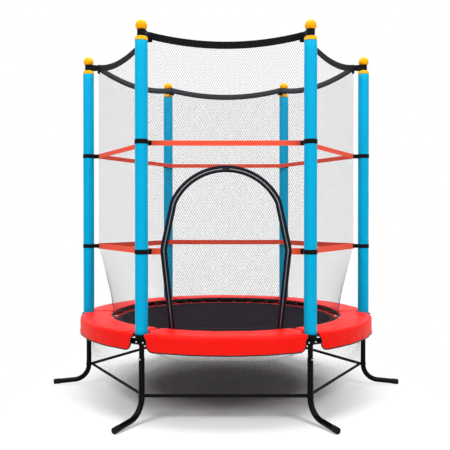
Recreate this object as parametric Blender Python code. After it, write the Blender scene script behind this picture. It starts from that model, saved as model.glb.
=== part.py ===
# A children's trampoline with a netted enclosure, in metres, +Z up.
# It stands on z = 0 with its centre on the Z axis, and its door faces -Y.

import math

import bmesh
import bpy
from mathutils import Matrix, Vector
from mathutils.geometry import delaunay_2d_cdt

# Six poles and six legs share one circle
POLE_COUNT = 6
POLE_CIRCLE = 0.674
FIT = 0.0003  # clearance between pieces that touch
TUBE_SIDES = 8

# Ring: six bent tubes, each with an upright stub, plugged into each other
RING_HEIGHT = 0.320
RING_DIAMETER = 0.025
RING_WALL = 0.0012
RING_STEPS = 6
SPIGOT_LENGTH = 0.032
STUB_DIAMETER = 0.0212
STUB_WALL = 0.001
STUB_IN_LEG = 0.040
STUB_IN_POLE = 0.055

# Legs, bent outwards into feet with plastic caps
LEG_TOP = 0.256
LEG_WALL = 0.001
LEG_BEND_RADIUS = 0.078
LEG_BEND_STEPS = 4
FOOT_RUN = 0.1024  # straight stretch from the bend to the cap's end
FOOT_SLOPE = math.radians(5.8)
CAP_LENGTH = 0.030
CAP_WALL = 0.0015
CAP_END = 0.0025
CAP_ROUNDING = 0.003
SOLE_DEPTH = 0.0015

# Poles, their foam sleeves and their ball-topped caps
POLE_WALL = 0.001
BARE_POLE = 0.018
FOAM_LENGTH = 1.169
FOAM_WALL = 0.0134
FOAM_SIDES = 12
COLLAR_HEIGHT = 0.017
COLLAR_ROUNDING = 0.008
NECK_HEIGHT = 0.0295
NECK_WALL = 0.003
BALL_DIAMETER = 0.048
BALL_SEAT = 0.0191
BALL_STEPS = 4
CAP_SOCKET = 0.038

# Mat, and the webbing hem with its elastic bands
MAT_DIAMETER = 1.050
MAT_THICKNESS = 0.002
MAT_ABOVE_RING = 0.0005
HEM_WIDTH = 0.015
BAND_COUNT = 42
BAND_WIDTH = 0.014
BAND_THICKNESS = 0.002

# Padded edge in six segments, with a skirt hanging over the ring
PAD_WIDTH = 0.152
PAD_OVERHANG = 0.0246
PAD_EDGE_HEIGHT = 0.0275  # top of the inner edge above the ring
PAD_EDGE_THICKNESS = 0.0105
PAD_CROWN = 0.003
SKIRT_DROP = 0.0455  # skirt's lower edge below the top of the ring
SKIRT_THICKNESS = 0.003
SKIRT_NOTCH = 0.038
SKIRT_ROUNDING = 0.028
PAD_CORNER = 0.020
PAD_SHOULDER = 0.008
PAD_BELLY = 0.0005
PAD_SEAM = 0.0004  # half the gap between two pads
PAD_STEPS = 6
SKIRT_BEHIND = 0.006  # from the ring's inner side back to where the pad steps down
NOTCH_SHOULDER = 0.002
NOTCH_TAPER = 0.006
NOTCH_STEP = 0.004
NOTCH_FALL = 0.010
NOTCH_SIDES = 16
OVERCUT = 0.020

# Enclosure net: six panels hung inside the poles
NET_STANDOFF = 0.049  # from the pole circle in to the net's corners
NET_THICKNESS = 0.0012
NET_HEM = 0.016
NET_SIDE_GAP = 0.0007  # from a panel's side to the corner line
NET_TUCK = 0.002  # net's lower edge above the pad's lower edge
STRAND = 0.009
NET_COLUMNS = 2
NET_ROWS = 3
BORDER_WIDTH = 0.030
BORDER_SAG = 0.040
BORDER_STEPS = 6
BORDER_LIFT = 0.0015  # border's middle above the middle of the neck
BORDER_COVER = 0.002  # border's upper edge above the net's
WEBBING = 0.0018
LOOP_START = 0.0004  # loops start this far outside the net's corner
LOOP_MARGIN = 0.001  # from a loop's edges to the ends of the neck
UPPER_STRAP_LEVEL = 1.119
UPPER_STRAP_WIDTH = 0.021
LOWER_STRAP_LEVEL = 0.680
LOWER_STRAP_WIDTH = 0.026
TIE_WIDTH = 0.0185
TIE_THICKNESS = 0.0015
TIE_STEPS = 6

# Arched door in the front panel, closed by a zip with two sliders
DOOR_TOP = 1.014
DOOR_CROWN_RADIUS = 0.235
DOOR_CROWN_ANGLE = math.radians(60)
DOOR_CROWN_STEPS = 16
DOOR_HALF_WIDTH = 0.254
DOOR_FOOT_HALF_WIDTH = 0.227
DOOR_SHOULDER_STEPS = 4
DOOR_SIDE_STEPS = 5
DOOR_SILL = 0.0097  # door's lower edge above the net's lower edge
DOOR_SILL_SHARE = 0.3  # the doorway's foot moves down by this share of an offset
ZIP_GAP = 0.001
ZIP_SET_BACK = 0.0015  # the net ends this far from the zip's line
TAPE_HEM = 0.002  # solid net left beyond the tape
TAPE_WIDTH = 0.013
TAPE_THICKNESS = 0.0024
TAPE_CLEARANCE = 0.0006  # the net behind the tape is slightly twisted
TAPE_SINK = 0.0001  # the flap's tape goes this far into its net
COIL_WIDTH = 0.002
COIL_HEIGHT = 0.0012
SLIDER_LENGTH = 0.013
SLIDER_WIDTH = 0.011
SLIDER_THICKNESS = 0.0034
SLIDER_CLEARANCE = 0.0007

# Lower net, from the ring down to a hem belt tied round the legs
LOWER_NET_TOP = 0.320
BELT_LEVEL = 0.108
BELT_WIDTH = 0.012
BELT_THICKNESS = 0.0022
BELT_STANDOFF = 0.0135
BELT_LOOP_SHORT = 0.001  # the loops round the legs are this much narrower
LOWER_NET_COLUMNS = 2
LOWER_NET_HEM = 0.06  # share of a side

SECTOR = math.tau / POLE_COUNT
FRONT = -math.pi / 2
LEG_BORE = STUB_DIAMETER + 2 * FIT
LEG_DIAMETER = LEG_BORE + 2 * LEG_WALL
POLE_DIAMETER = STUB_DIAMETER + 2 * FIT + 2 * POLE_WALL
SPIGOT_DIAMETER = RING_DIAMETER - 2 * RING_WALL - 2 * FIT
RING_TOP = RING_HEIGHT + RING_DIAMETER / 2
POLE_BOTTOM = RING_TOP + FIT
FOAM_BOTTOM = POLE_BOTTOM + BARE_POLE
FOAM_TOP = FOAM_BOTTOM + FOAM_LENGTH
FOAM_BORE = (POLE_DIAMETER / 2 + FIT) / math.cos(math.pi / FOAM_SIDES)
FOAM_RADIUS = FOAM_BORE + FOAM_WALL
CAP_BOTTOM = FOAM_TOP + FIT
NECK_BOTTOM = CAP_BOTTOM + COLLAR_HEIGHT
NECK_TOP = NECK_BOTTOM + NECK_HEIGHT
NECK_RADIUS = FOAM_BORE + NECK_WALL
MAT_MIDDLE = RING_TOP + MAT_ABOVE_RING - MAT_THICKNESS / 2
BAND_MIDDLE = RING_TOP + FIT + BAND_THICKNESS / 2
HEM_OUTER = MAT_DIAMETER / 2 + FIT + HEM_WIDTH
PAD_OUTER = POLE_CIRCLE + PAD_OVERHANG
PAD_INNER = PAD_OUTER - PAD_WIDTH
PAD_SEAT = BAND_MIDDLE + BAND_THICKNESS / 2 + FIT
PAD_TOP = RING_TOP + PAD_EDGE_HEIGHT
LOWER_NET_RADIUS = (
    POLE_CIRCLE * math.cos(SECTOR / RING_STEPS / 2) - RING_DIAMETER / 2 - NET_THICKNESS / 2 - FIT
)
NET_CORNER = POLE_CIRCLE - NET_STANDOFF
NET_HALF_WIDTH = NET_CORNER * math.sin(SECTOR / 2)
NET_PLANE = NET_CORNER * math.cos(SECTOR / 2)
NET_BOTTOM = PAD_TOP - PAD_EDGE_THICKNESS + NET_TUCK
PAD_FACET = (SECTOR - 2 * PAD_CORNER / PAD_INNER) / PAD_STEPS
NET_BOTTOM_RADIUS = PAD_INNER * math.cos(PAD_FACET / 2) - NET_THICKNESS / 2 - 2 * FIT
BORDER_LEVEL = (NECK_BOTTOM + NECK_TOP) / 2 + BORDER_LIFT
BORDER_TIE_WIDTH = NECK_HEIGHT - 2 * LOOP_MARGIN
DOOR_BOTTOM = NET_BOTTOM + DOOR_SILL
DOOR_CROWN_CENTRE = DOOR_TOP - DOOR_CROWN_RADIUS

BLACK_STEEL = ("black_steel", (0.012, 0.012, 0.014), 0.35, 0.6)
BLACK_PLASTIC = ("black_plastic", (0.015, 0.015, 0.016), 0.5, 0.0)
BLUE_FOAM = ("blue_foam", (0.0, 0.46, 0.74), 0.6, 0.0)
YELLOW_PLASTIC = ("yellow_plastic", (0.92, 0.49, 0.0), 0.35, 0.0)
RED_VINYL = ("red_vinyl", (1.0, 0.02, 0.01), 0.45, 0.0)
RED_WEBBING = ("red_webbing", (0.95, 0.15, 0.09), 0.8, 0.0)
BLACK_WEBBING = ("black_webbing", (0.01, 0.01, 0.013), 0.85, 0.0)
BLACK_NET = ("black_net", (0.02, 0.02, 0.022), 0.9, 0.0)
BLACK_MAT = ("black_mat", (0.012, 0.01, 0.013), 0.8, 0.0)


def clear_scene():
    for existing in list(bpy.data.objects):
        bpy.data.objects.remove(existing, do_unlink=True)


def material(finish):
    name, colour, roughness, metallic = finish
    found = bpy.data.materials.get(name)
    if found:
        return found
    made = bpy.data.materials.new(name)
    made.use_nodes = True
    shader = made.node_tree.nodes["Principled BSDF"]
    shader.inputs["Base Color"].default_value = (*colour, 1)
    shader.inputs["Roughness"].default_value = roughness
    shader.inputs["Metallic"].default_value = metallic
    return made


def mesh_from(bm, name):
    bmesh.ops.recalc_face_normals(bm, faces=bm.faces)
    mesh = bpy.data.meshes.new(name)
    bm.to_mesh(mesh)
    bm.free()
    return mesh


def add_part(name, mesh, finish, parent, turn=0.0, smooth=True):
    """Puts one piece in the scene, turned about Z to its place on the circle."""
    if not mesh.materials:
        mesh.materials.append(material(finish))
    if smooth:
        mesh.shade_smooth()
        mesh.set_sharp_from_angle(angle=math.radians(40))
    part = bpy.data.objects.new(name, mesh)
    bpy.context.collection.objects.link(part)
    part.parent = parent
    part.rotation_euler.z = turn
    return part


def add_joint(name, place):
    joint = bpy.data.objects.new(name, None)
    bpy.context.collection.objects.link(joint)
    joint.location = place
    return joint


def combined(name, base, joined=(), cut=()):
    """One mesh: the base, with solids joined to it and others cut out of it."""
    block = bpy.data.objects.new(name, base)
    bpy.context.collection.objects.link(block)
    tools = [(mesh, "UNION") for mesh in joined] + [(mesh, "DIFFERENCE") for mesh in cut]
    helpers = []
    for mesh, operation in tools:
        helper = bpy.data.objects.new(mesh.name, mesh)
        helper.hide_render = True
        helper.display_type = "WIRE"
        bpy.context.collection.objects.link(helper)
        step = block.modifiers.new(mesh.name, "BOOLEAN")
        step.operation = operation
        step.object = helper
        helpers.append(helper)
    shape = block.evaluated_get(bpy.context.evaluated_depsgraph_get())
    result = bpy.data.meshes.new_from_object(shape)
    result.name = name
    for used in [block, *helpers]:
        bpy.data.objects.remove(used, do_unlink=True)
    return result


def circle(radius, sides=TUBE_SIDES):
    return [
        (radius * math.cos(math.tau * i / sides), radius * math.sin(math.tau * i / sides))
        for i in range(sides)
    ]


def box_section(thickness, width):
    half, rise = thickness / 2, width / 2
    return [(-half, -rise), (half, -rise), (half, rise), (-half, rise)]


def sweep(bm, path, up, section, closed=False, ends=True):
    """Carries a section along a path. Its first axis points away from the path's
    left, mitred at each corner, and its second axis is up."""
    count = len(path)
    rings = []
    for i, point in enumerate(path):
        runs = []
        if closed or i > 0:
            runs.append((point - path[i - 1]).normalized())
        if closed or i < count - 1:
            runs.append((path[(i + 1) % count] - point).normalized())
        ahead = sum(runs, Vector()).normalized()
        across = ahead.cross(up).normalized()
        across /= across.dot(runs[0].cross(up).normalized())
        rings.append([bm.verts.new(point + across * a + up * b) for a, b in section])
    pairs = list(zip(rings, rings[1:]))
    if closed:
        pairs.append((rings[-1], rings[0]))
    for one, two in pairs:
        for j in range(len(section)):
            bm.faces.new((one[j - 1], one[j], two[j], two[j - 1]))
    if ends and not closed:
        bm.faces.new(rings[0])
        bm.faces.new(rings[-1])
    return rings


def pipe(bm, path, up, outer, inner, sides=TUBE_SIDES):
    """A hollow tube along a path."""
    shell = sweep(bm, path, up, circle(outer, sides), ends=False)
    bore = sweep(bm, path, up, circle(inner, sides), ends=False)
    for end in (0, -1):
        for j in range(sides):
            bm.faces.new((shell[end][j - 1], shell[end][j], bore[end][j], bore[end][j - 1]))


def turned(bm, profile, sides):
    """Turns a profile of (radius, height) points about the Z axis."""
    points = [bm.verts.new((r, 0, z)) for r, z in profile]
    edges = [bm.edges.new(pair) for pair in zip(points, points[1:])]
    bmesh.ops.spin(
        bm,
        geom=points + edges,
        cent=(0, 0, 0),
        axis=(0, 0, 1),
        angle=math.tau,
        steps=sides,
        use_merge=True,
    )
    bmesh.ops.remove_doubles(bm, verts=bm.verts, dist=1e-6)


def fraction(low, high, steps):
    return [low + (high - low) * i / steps for i in range(steps + 1)]


def around(radius, angle, height=0.0):
    return Vector((radius * math.cos(angle), radius * math.sin(angle), height))


# Ring, legs and poles


def ring_section():
    """One bent tube of the ring, with the upright stub at its start and a spigot
    that plugs into the tube before it."""
    step = SECTOR / RING_STEPS
    up = Vector((0, 0, 1))
    points = [around(POLE_CIRCLE, i * step, RING_HEIGHT) for i in range(-1, RING_STEPS + 1)]
    before, start, second, stop = points[0], points[1], points[2], points[-1]
    reach = STUB_DIAMETER / 2
    last_run = (stop - points[-2]).normalized()
    end = stop - last_run * (reach + FIT)
    back = (before - start).normalized()
    out = (second - start).normalized()
    tip = start + back * (reach + SPIGOT_LENGTH)
    low = Vector((POLE_CIRCLE, 0, LEG_TOP - STUB_IN_LEG))
    high = Vector((POLE_CIRCLE, 0, POLE_BOTTOM + STUB_IN_POLE))
    across = Vector((0, 1, 0))

    tube = bmesh.new()
    sweep(tube, [start, *points[2:-1], end], up, circle(RING_DIAMETER / 2))
    stub = bmesh.new()
    sweep(stub, [high, low], across, circle(STUB_DIAMETER / 2))
    spigot = bmesh.new()
    sweep(spigot, [start, tip], up, circle(SPIGOT_DIAMETER / 2))

    bores = bmesh.new()
    ring_bore = circle(RING_DIAMETER / 2 - RING_WALL)
    sweep(bores, [start + out * reach, *points[2:-1], end + last_run * reach], up, ring_bore)
    stub_bore = circle(STUB_DIAMETER / 2 - STUB_WALL)
    sweep(bores, [high + up * reach, low - up * reach], across, stub_bore)
    spigot_bore = circle(SPIGOT_DIAMETER / 2 - STUB_WALL)
    sweep(bores, [start + back * reach, tip + back * reach], up, spigot_bore)
    return combined(
        "frame_section",
        mesh_from(tube, "ring_tube"),
        joined=[mesh_from(stub, "stub"), mesh_from(spigot, "spigot")],
        cut=[mesh_from(bores, "bores")],
    )


def foot_line():
    """The points of one leg's centre line, from its top to its cap's end."""
    cap_radius = LEG_DIAMETER / 2 + FIT + CAP_WALL
    bend_out = POLE_CIRCLE + LEG_BEND_RADIUS * (1 - math.sin(FOOT_SLOPE))
    tip_out = bend_out + FOOT_RUN * math.cos(FOOT_SLOPE)
    tip_height = cap_radius * math.cos(FOOT_SLOPE) - SOLE_DEPTH
    bend_end = tip_height + FOOT_RUN * math.sin(FOOT_SLOPE)
    centre = Vector((
        POLE_CIRCLE + LEG_BEND_RADIUS, 0, bend_end + LEG_BEND_RADIUS * math.cos(FOOT_SLOPE)
    ))
    points = [Vector((POLE_CIRCLE, 0, LEG_TOP))]
    for turn in fraction(0, math.pi / 2 - FOOT_SLOPE, LEG_BEND_STEPS):
        points.append(centre - Vector((math.cos(turn), 0, math.sin(turn))) * LEG_BEND_RADIUS)
    points.append(Vector((tip_out, 0, tip_height)))
    return points


def leg():
    points = foot_line()
    along = (points[-1] - points[-2]).normalized()
    points[-1] = points[-1] - along * (CAP_END + FIT)
    bm = bmesh.new()
    pipe(bm, points, Vector((0, 1, 0)), LEG_DIAMETER / 2, LEG_BORE / 2)
    return mesh_from(bm, "leg")


def foot_cap():
    """A cup over the foot's end, cut flat where it stands."""
    bore = LEG_DIAMETER / 2 + FIT
    outer = bore + CAP_WALL
    bm = bmesh.new()
    profile = [
        (0, 0),
        (outer - CAP_ROUNDING, 0),
        (outer, -CAP_ROUNDING),
        (outer, -CAP_LENGTH),
        (bore, -CAP_LENGTH),
        (bore, -CAP_END),
        (0, -CAP_END),
    ]
    turned(bm, profile, TUBE_SIDES)
    tip = foot_line()[-1]
    lay = Matrix.Rotation(math.pi / 2 + FOOT_SLOPE, 4, "Y")
    bmesh.ops.transform(bm, matrix=Matrix.Translation(tip) @ lay, verts=bm.verts)
    cut = bmesh.ops.bisect_plane(
        bm,
        geom=bm.verts[:] + bm.edges[:] + bm.faces[:],
        plane_co=(0, 0, 0),
        plane_no=(0, 0, -1),
        clear_outer=True,
    )
    edges = [item for item in cut["geom_cut"] if isinstance(item, bmesh.types.BMEdge)]
    bmesh.ops.contextual_create(bm, geom=edges)
    return mesh_from(bm, "foot_cap")


def pole():
    bm = bmesh.new()
    top = CAP_BOTTOM + CAP_SOCKET - FIT
    path = [Vector((POLE_CIRCLE, 0, top)), Vector((POLE_CIRCLE, 0, POLE_BOTTOM))]
    pipe(bm, path, Vector((0, 1, 0)), POLE_DIAMETER / 2, POLE_DIAMETER / 2 - POLE_WALL)
    return mesh_from(bm, "pole")


def foam_sleeve():
    bm = bmesh.new()
    path = [Vector((POLE_CIRCLE, 0, FOAM_TOP)), Vector((POLE_CIRCLE, 0, FOAM_BOTTOM))]
    pipe(bm, path, Vector((0, 1, 0)), FOAM_RADIUS, FOAM_BORE, FOAM_SIDES)
    return mesh_from(bm, "foam_sleeve")


def pole_cap():
    """Collar on the foam, waisted neck and ball, turned in one piece round a socket."""
    ball = BALL_DIAMETER / 2
    centre = NECK_TOP + math.sqrt(ball**2 - BALL_SEAT**2)
    lowest = -math.asin((centre - NECK_TOP) / ball)
    profile = [(0, CAP_BOTTOM + CAP_SOCKET), (FOAM_BORE, CAP_BOTTOM + CAP_SOCKET)]
    profile += [(FOAM_BORE, CAP_BOTTOM), (FOAM_RADIUS, CAP_BOTTOM)]
    profile += [(FOAM_RADIUS, NECK_BOTTOM - COLLAR_ROUNDING)]
    profile += [(FOAM_RADIUS - COLLAR_ROUNDING * 0.35, NECK_BOTTOM - COLLAR_ROUNDING * 0.3)]
    profile += [(NECK_RADIUS, NECK_BOTTOM), (NECK_RADIUS, NECK_TOP)]
    for tilt in fraction(lowest, math.pi / 2, BALL_STEPS):
        profile.append((ball * math.cos(tilt), centre + ball * math.sin(tilt)))
    profile[-1] = (0, centre + ball)
    bm = bmesh.new()
    turned(bm, profile, FOAM_SIDES)
    bmesh.ops.translate(bm, verts=bm.verts, vec=(POLE_CIRCLE, 0, 0))
    return mesh_from(bm, "pole_cap")


# Mat, bands and pads


def mat():
    bm = bmesh.new()
    bmesh.ops.create_cone(
        bm,
        cap_ends=True,
        segments=BAND_COUNT,
        radius1=MAT_DIAMETER / 2,
        radius2=MAT_DIAMETER / 2,
        depth=MAT_THICKNESS,
        matrix=Matrix.Translation((0, 0, MAT_MIDDLE)) @ Matrix.Rotation(math.pi / 2, 4, "Z"),
    )
    return mesh_from(bm, "mat")


def band_angles():
    """Bands stand evenly, half a step off the middle of each panel."""
    return [FRONT + (k + 0.5) * math.tau / BAND_COUNT for k in range(BAND_COUNT)]


def elastic_bands():
    """The hem sewn round the mat, with the bands that run out over the ring.
    A band that meets a pole ends against it."""
    poles = [FRONT + SECTOR / 2 + k * SECTOR for k in range(POLE_COUNT)]
    outline = []
    for angle in band_angles():
        base = math.asin(BAND_WIDTH / 2 / HEM_OUTER)
        spread = min(abs(math.remainder(angle - at, math.tau)) for at in poles)
        near_pole = spread * POLE_CIRCLE < BAND_WIDTH / 2 + POLE_DIAMETER / 2
        reach = POLE_CIRCLE - (POLE_DIAMETER / 2 + 2 * FIT if near_pole else 0)
        tip = math.asin(BAND_WIDTH / 2 / reach)
        for radius, turn in ((HEM_OUTER, -base), (reach, -tip), (reach, tip), (HEM_OUTER, base)):
            point = around(radius, angle + turn)
            outline.append((point.x, point.y))
    bore = circle(MAT_DIAMETER / 2 + FIT, BAND_COUNT)

    def place(x, y):
        out = (math.hypot(x, y) - HEM_OUTER) / (POLE_CIRCLE - HEM_OUTER)
        return Vector((x, y, MAT_MIDDLE + (BAND_MIDDLE - MAT_MIDDLE) * max(0, min(1, out))))

    bm = bmesh.new()
    fill_sheet(bm, outline, place, openings=[bore])
    thicken(bm, BAND_THICKNESS)
    return mesh_from(bm, "elastic_bands")


def pad_section(inner):
    """The outline of a pad at one angle, as (radius, height) points."""
    under = PAD_TOP - PAD_EDGE_THICKNESS
    width = PAD_OUTER - inner
    skirt = PAD_OUTER - SKIRT_THICKNESS
    hem = RING_TOP - SKIRT_DROP
    seat = POLE_CIRCLE - RING_DIAMETER / 2 - SKIRT_BEHIND
    return [
        (inner, under),
        (inner, PAD_TOP - PAD_CROWN),
        (inner + width * 0.05, PAD_TOP),
        (inner + width * 0.42, PAD_TOP + PAD_CROWN * 0.7),
        (inner + width * 0.80, PAD_TOP - PAD_CROWN * 0.7),
        (PAD_OUTER - PAD_SHOULDER, PAD_TOP - PAD_CROWN * 2.2),
        (PAD_OUTER, PAD_TOP - PAD_CROWN * 5.5),
        (PAD_OUTER, hem),
        (skirt, hem),
        (skirt, PAD_SEAT),
        (seat, PAD_SEAT),
        (inner + width * 0.06, under - PAD_BELLY),
    ]


def edge_pad():
    """One padded segment, from seam to seam, notched round the poles at both ends."""
    seam = PAD_SEAM / PAD_INNER
    half = SECTOR / 2 - seam
    corner = PAD_CORNER / PAD_INNER
    ends = [0, corner * 0.3, corner]
    turns = [-half + end for end in ends]
    turns += fraction(-half + corner, half - corner, PAD_STEPS)[1:-1]
    turns += [half - end for end in reversed(ends)]
    bm = bmesh.new()
    rings = []
    for turn in turns:
        inward = max(0, corner - (half - abs(turn))) * PAD_INNER
        inner = PAD_INNER + PAD_CORNER - math.sqrt(PAD_CORNER**2 - inward**2)
        rings.append([bm.verts.new(around(r, turn, z)) for r, z in pad_section(inner)])
    for one, two in zip(rings, rings[1:]):
        for j in range(len(one)):
            bm.faces.new((one[j - 1], one[j], two[j], two[j - 1]))
    bm.faces.new(rings[0])
    bm.faces.new(rings[-1])
    return combined("edge_pad", mesh_from(bm, "pad_block"), cut=pad_notches())


def pad_notches():
    """Two cutters at each end: a round one for the sleeve, and the gap in the skirt."""
    clear = FOAM_RADIUS + 2 * FIT
    hem = RING_TOP - SKIRT_DROP
    shoulder = PAD_SEAT + NOTCH_SHOULDER
    rounds = bmesh.new()
    gaps = bmesh.new()
    profile = [(clear, PAD_TOP + OVERCUT), (clear, shoulder + NOTCH_TAPER)]
    profile += [(SKIRT_NOTCH - NOTCH_STEP, shoulder), (SKIRT_NOTCH, shoulder - NOTCH_FALL)]
    for turn in fraction(0, math.pi / 2, 3):
        out = SKIRT_NOTCH + SKIRT_ROUNDING * (1 - math.cos(turn))
        profile.append((out, hem + SKIRT_ROUNDING * (1 - math.sin(turn)) - FIT))
    profile.append((SKIRT_NOTCH + SKIRT_ROUNDING, hem - OVERCUT))
    outline = profile + [(-across, height) for across, height in reversed(profile)]
    for side in (-1, 1):
        angle = side * SECTOR / 2
        along = Matrix.Rotation(angle, 3, "Z")
        centre = around(POLE_CIRCLE, angle, PAD_TOP)
        bmesh.ops.create_cone(
            rounds,
            cap_ends=True,
            segments=NOTCH_SIDES,
            radius1=clear,
            radius2=clear,
            depth=2 * SKIRT_DROP,
            matrix=Matrix.Translation(centre),
        )
        near = [gaps.verts.new(along @ Vector((POLE_CIRCLE, a, z))) for a, z in outline]
        far = [gaps.verts.new(along @ Vector((PAD_OUTER + OVERCUT, a, z))) for a, z in outline]
        for j in range(len(outline)):
            gaps.faces.new((near[j - 1], near[j], far[j], far[j - 1]))
        gaps.faces.new(near)
        gaps.faces.new(far)
    return [mesh_from(rounds, "sleeve_notch"), mesh_from(gaps, "skirt_gap")]


# Sheets of net and webbing


def triangulate(loops, lines):
    """Triangles between closed loops, each with the set of loops that hold it."""
    points, faces, edges = [], [], []
    for loop in loops:
        faces.append(list(range(len(points), len(points) + len(loop))))
        points += [Vector(point) for point in loop]
    for line in lines:
        edges += [(len(points) + i, len(points) + i + 1) for i in range(len(line) - 1)]
        points += [Vector(point) for point in line]
    made = delaunay_2d_cdt(points, edges, faces, 1, 1e-6)
    return made[0], [(tuple(face), set(owner)) for face, owner in zip(made[2], made[5])]


def rims(triangles):
    """The closed loops of point numbers round a set of triangles."""
    edges = {(face[i - 1], face[i]) for face in triangles for i in range(3)}
    following = {a: b for a, b in edges if (b, a) not in edges}
    loops = []
    while following:
        loop = [next(iter(following))]
        while loop[-1] in following:
            loop.append(following.pop(loop[-1]))
        loops.append(loop[1:])
    return loops


def fill_sheet(bm, outline, place, openings=(), gaps=(), field=None, keep=(), lines=()):
    """Fills an outline with triangles, leaving out the openings, and leaving out
    each gap where it lies in the field and outside the keep outlines."""
    spans = field if field else outline
    loops = [outline, *openings, spans, *keep, *gaps]
    first_field = 1 + len(openings)
    first_gap = first_field + 1 + len(keep)
    coords, triangles = triangulate(loops, lines)
    solid = []
    for face, owners in triangles:
        kept = owners & set(range(first_field + 1, first_gap))
        gap = first_field in owners and not kept and max(owners) >= first_gap
        if 0 in owners and not gap and not owners & set(range(1, first_field)):
            solid.append(face)
    walls = [[tuple(coords[i]) for i in loop] for loop in rims(solid)]
    walls.sort(key=lambda loop: max(x for x, y in loop), reverse=True)
    coords, triangles = triangulate([walls[0]] + [loop[::-1] for loop in walls[1:]], lines)
    verts = {}
    for face, owners in triangles:
        if owners == {0}:
            for i in face:
                if i not in verts:
                    verts[i] = bm.verts.new(place(*coords[i]))
            bm.faces.new([verts[i] for i in face])


def thicken(bm, thickness):
    """Turns an open sheet into a closed one of the given thickness."""
    bm.normal_update()
    faces = list(bm.faces)
    border = [edge for edge in bm.edges if edge.is_boundary]
    loops = [(edge.link_loops[0].vert, edge.link_loops[0].link_loop_next.vert) for edge in border]
    offset = {vert: vert.normal * thickness / 2 for vert in bm.verts}
    back = {vert: bm.verts.new(vert.co - shift) for vert, shift in offset.items()}
    for face in faces:
        bm.faces.new([back[vert] for vert in reversed(face.verts)])
    for one, two in loops:
        bm.faces.new((two, one, back[one], back[two]))
    for vert, shift in offset.items():
        vert.co += shift


def diamonds(low, high, bottom, top, columns, rows):
    """Diamond gaps of a net, in rows that are shifted by half a gap."""
    wide, tall = (high - low) / columns / 2, (top - bottom) / rows / 2
    side = wide * tall / math.hypot(wide, tall)
    shrink = 1 - STRAND / 2 / side
    gaps = []
    for row in range(2 * rows + 1):
        shift = row % 2
        for column in range(columns + 1 - shift):
            u = low + wide * (2 * column + shift)
            v = bottom + tall * row
            gaps.append([
                (u + wide * shrink, v),
                (u, v + tall * shrink),
                (u - wide * shrink, v),
                (u, v - tall * shrink),
            ])
    return gaps


def net_place(u, height):
    """A point of the front panel: flat down to the lower strap, from there in to
    the top of the round pads, and upright beside them."""
    flat = Vector((u, -NET_PLANE, height))
    if height >= LOWER_STRAP_LEVEL:
        return flat
    turn = FRONT + u / NET_HALF_WIDTH * SECTOR / 2
    low = around(NET_BOTTOM_RADIUS, turn, height)
    share = (LOWER_STRAP_LEVEL - height) / (LOWER_STRAP_LEVEL - PAD_TOP)
    return flat.lerp(low, min(share, 1))


def sag(u):
    """Height of the top border's centre line across a panel."""
    return BORDER_LEVEL - BORDER_SAG * (1 - (u / NET_HALF_WIDTH) ** 2)


def panel_outline(margin):
    """The outline of a net panel, drawn in by a margin on all sides."""
    side = NET_HALF_WIDTH - NET_SIDE_GAP - margin
    bottom = NET_BOTTOM + margin
    lift = BORDER_WIDTH / 2 - BORDER_COVER - margin
    outline = [(u, bottom) for u in fraction(-side, side, BORDER_STEPS)]
    outline.append((side, LOWER_STRAP_LEVEL))
    outline += [(u, sag(u) + lift) for u in fraction(side, -side, BORDER_STEPS)]
    outline.append((-side, LOWER_STRAP_LEVEL))
    return outline


def net_gaps():
    top = BORDER_LEVEL
    return diamonds(
        -NET_HALF_WIDTH + NET_HEM, NET_HALF_WIDTH - NET_HEM, NET_BOTTOM, top, NET_COLUMNS, NET_ROWS
    )


def net_panel(opening=None, edge=None):
    side = NET_HALF_WIDTH - NET_SIDE_GAP
    bm = bmesh.new()
    fold = [(-side, LOWER_STRAP_LEVEL), (side, LOWER_STRAP_LEVEL)]
    if opening:
        jamb = max(u for u, v in opening if abs(v - LOWER_STRAP_LEVEL) < FIT)
        fold = [fold[0], (-jamb, LOWER_STRAP_LEVEL), (jamb, LOWER_STRAP_LEVEL), fold[1]]
    fill_sheet(
        bm,
        panel_outline(0),
        net_place,
        openings=[opening] if opening else [],
        gaps=net_gaps(),
        field=panel_outline(NET_HEM),
        keep=[edge] if edge else [],
        lines=[fold, [(u, PAD_TOP) for u in fraction(-side, side, BORDER_STEPS)]],
    )
    thicken(bm, NET_THICKNESS)
    return mesh_from(bm, "net_panel")


def net_line(offset, level, sides=POLE_COUNT):
    """Corners of the net at one level, moved out by an offset, from the front right
    corner round to the front left one."""
    radius = NET_CORNER + offset / math.cos(SECTOR / 2)
    return [around(radius, FRONT + SECTOR / 2 + k * SECTOR, level) for k in range(sides)]


def tie_loops(start, wrapped, width, thickness, level):
    """A loop of webbing round each pole, both ends sewn to the net's corner."""
    radius = (wrapped + FIT + thickness / 2) / math.cos(math.pi / TIE_STEPS * 0.75)
    reach = POLE_CIRCLE - start
    turn = math.acos(radius / reach)
    bm = bmesh.new()
    up = Vector((0, 0, 1))
    for k in range(POLE_COUNT):
        place = Matrix.Rotation(FRONT + SECTOR / 2 + k * SECTOR, 4, "Z")
        path = [Vector((start, 0, level))]
        for angle in fraction(math.pi + turn, 3 * math.pi - turn, TIE_STEPS):
            bend = Vector((math.cos(angle), math.sin(angle), 0))
            path.append(Vector((POLE_CIRCLE, 0, level)) + bend * radius)
        sweep(bm, [place @ point for point in path], up, box_section(thickness, width), True)
    return mesh_from(bm, "tie_loops")


def webbing_offset():
    return NET_THICKNESS / 2 + FIT + WEBBING / 2


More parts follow.
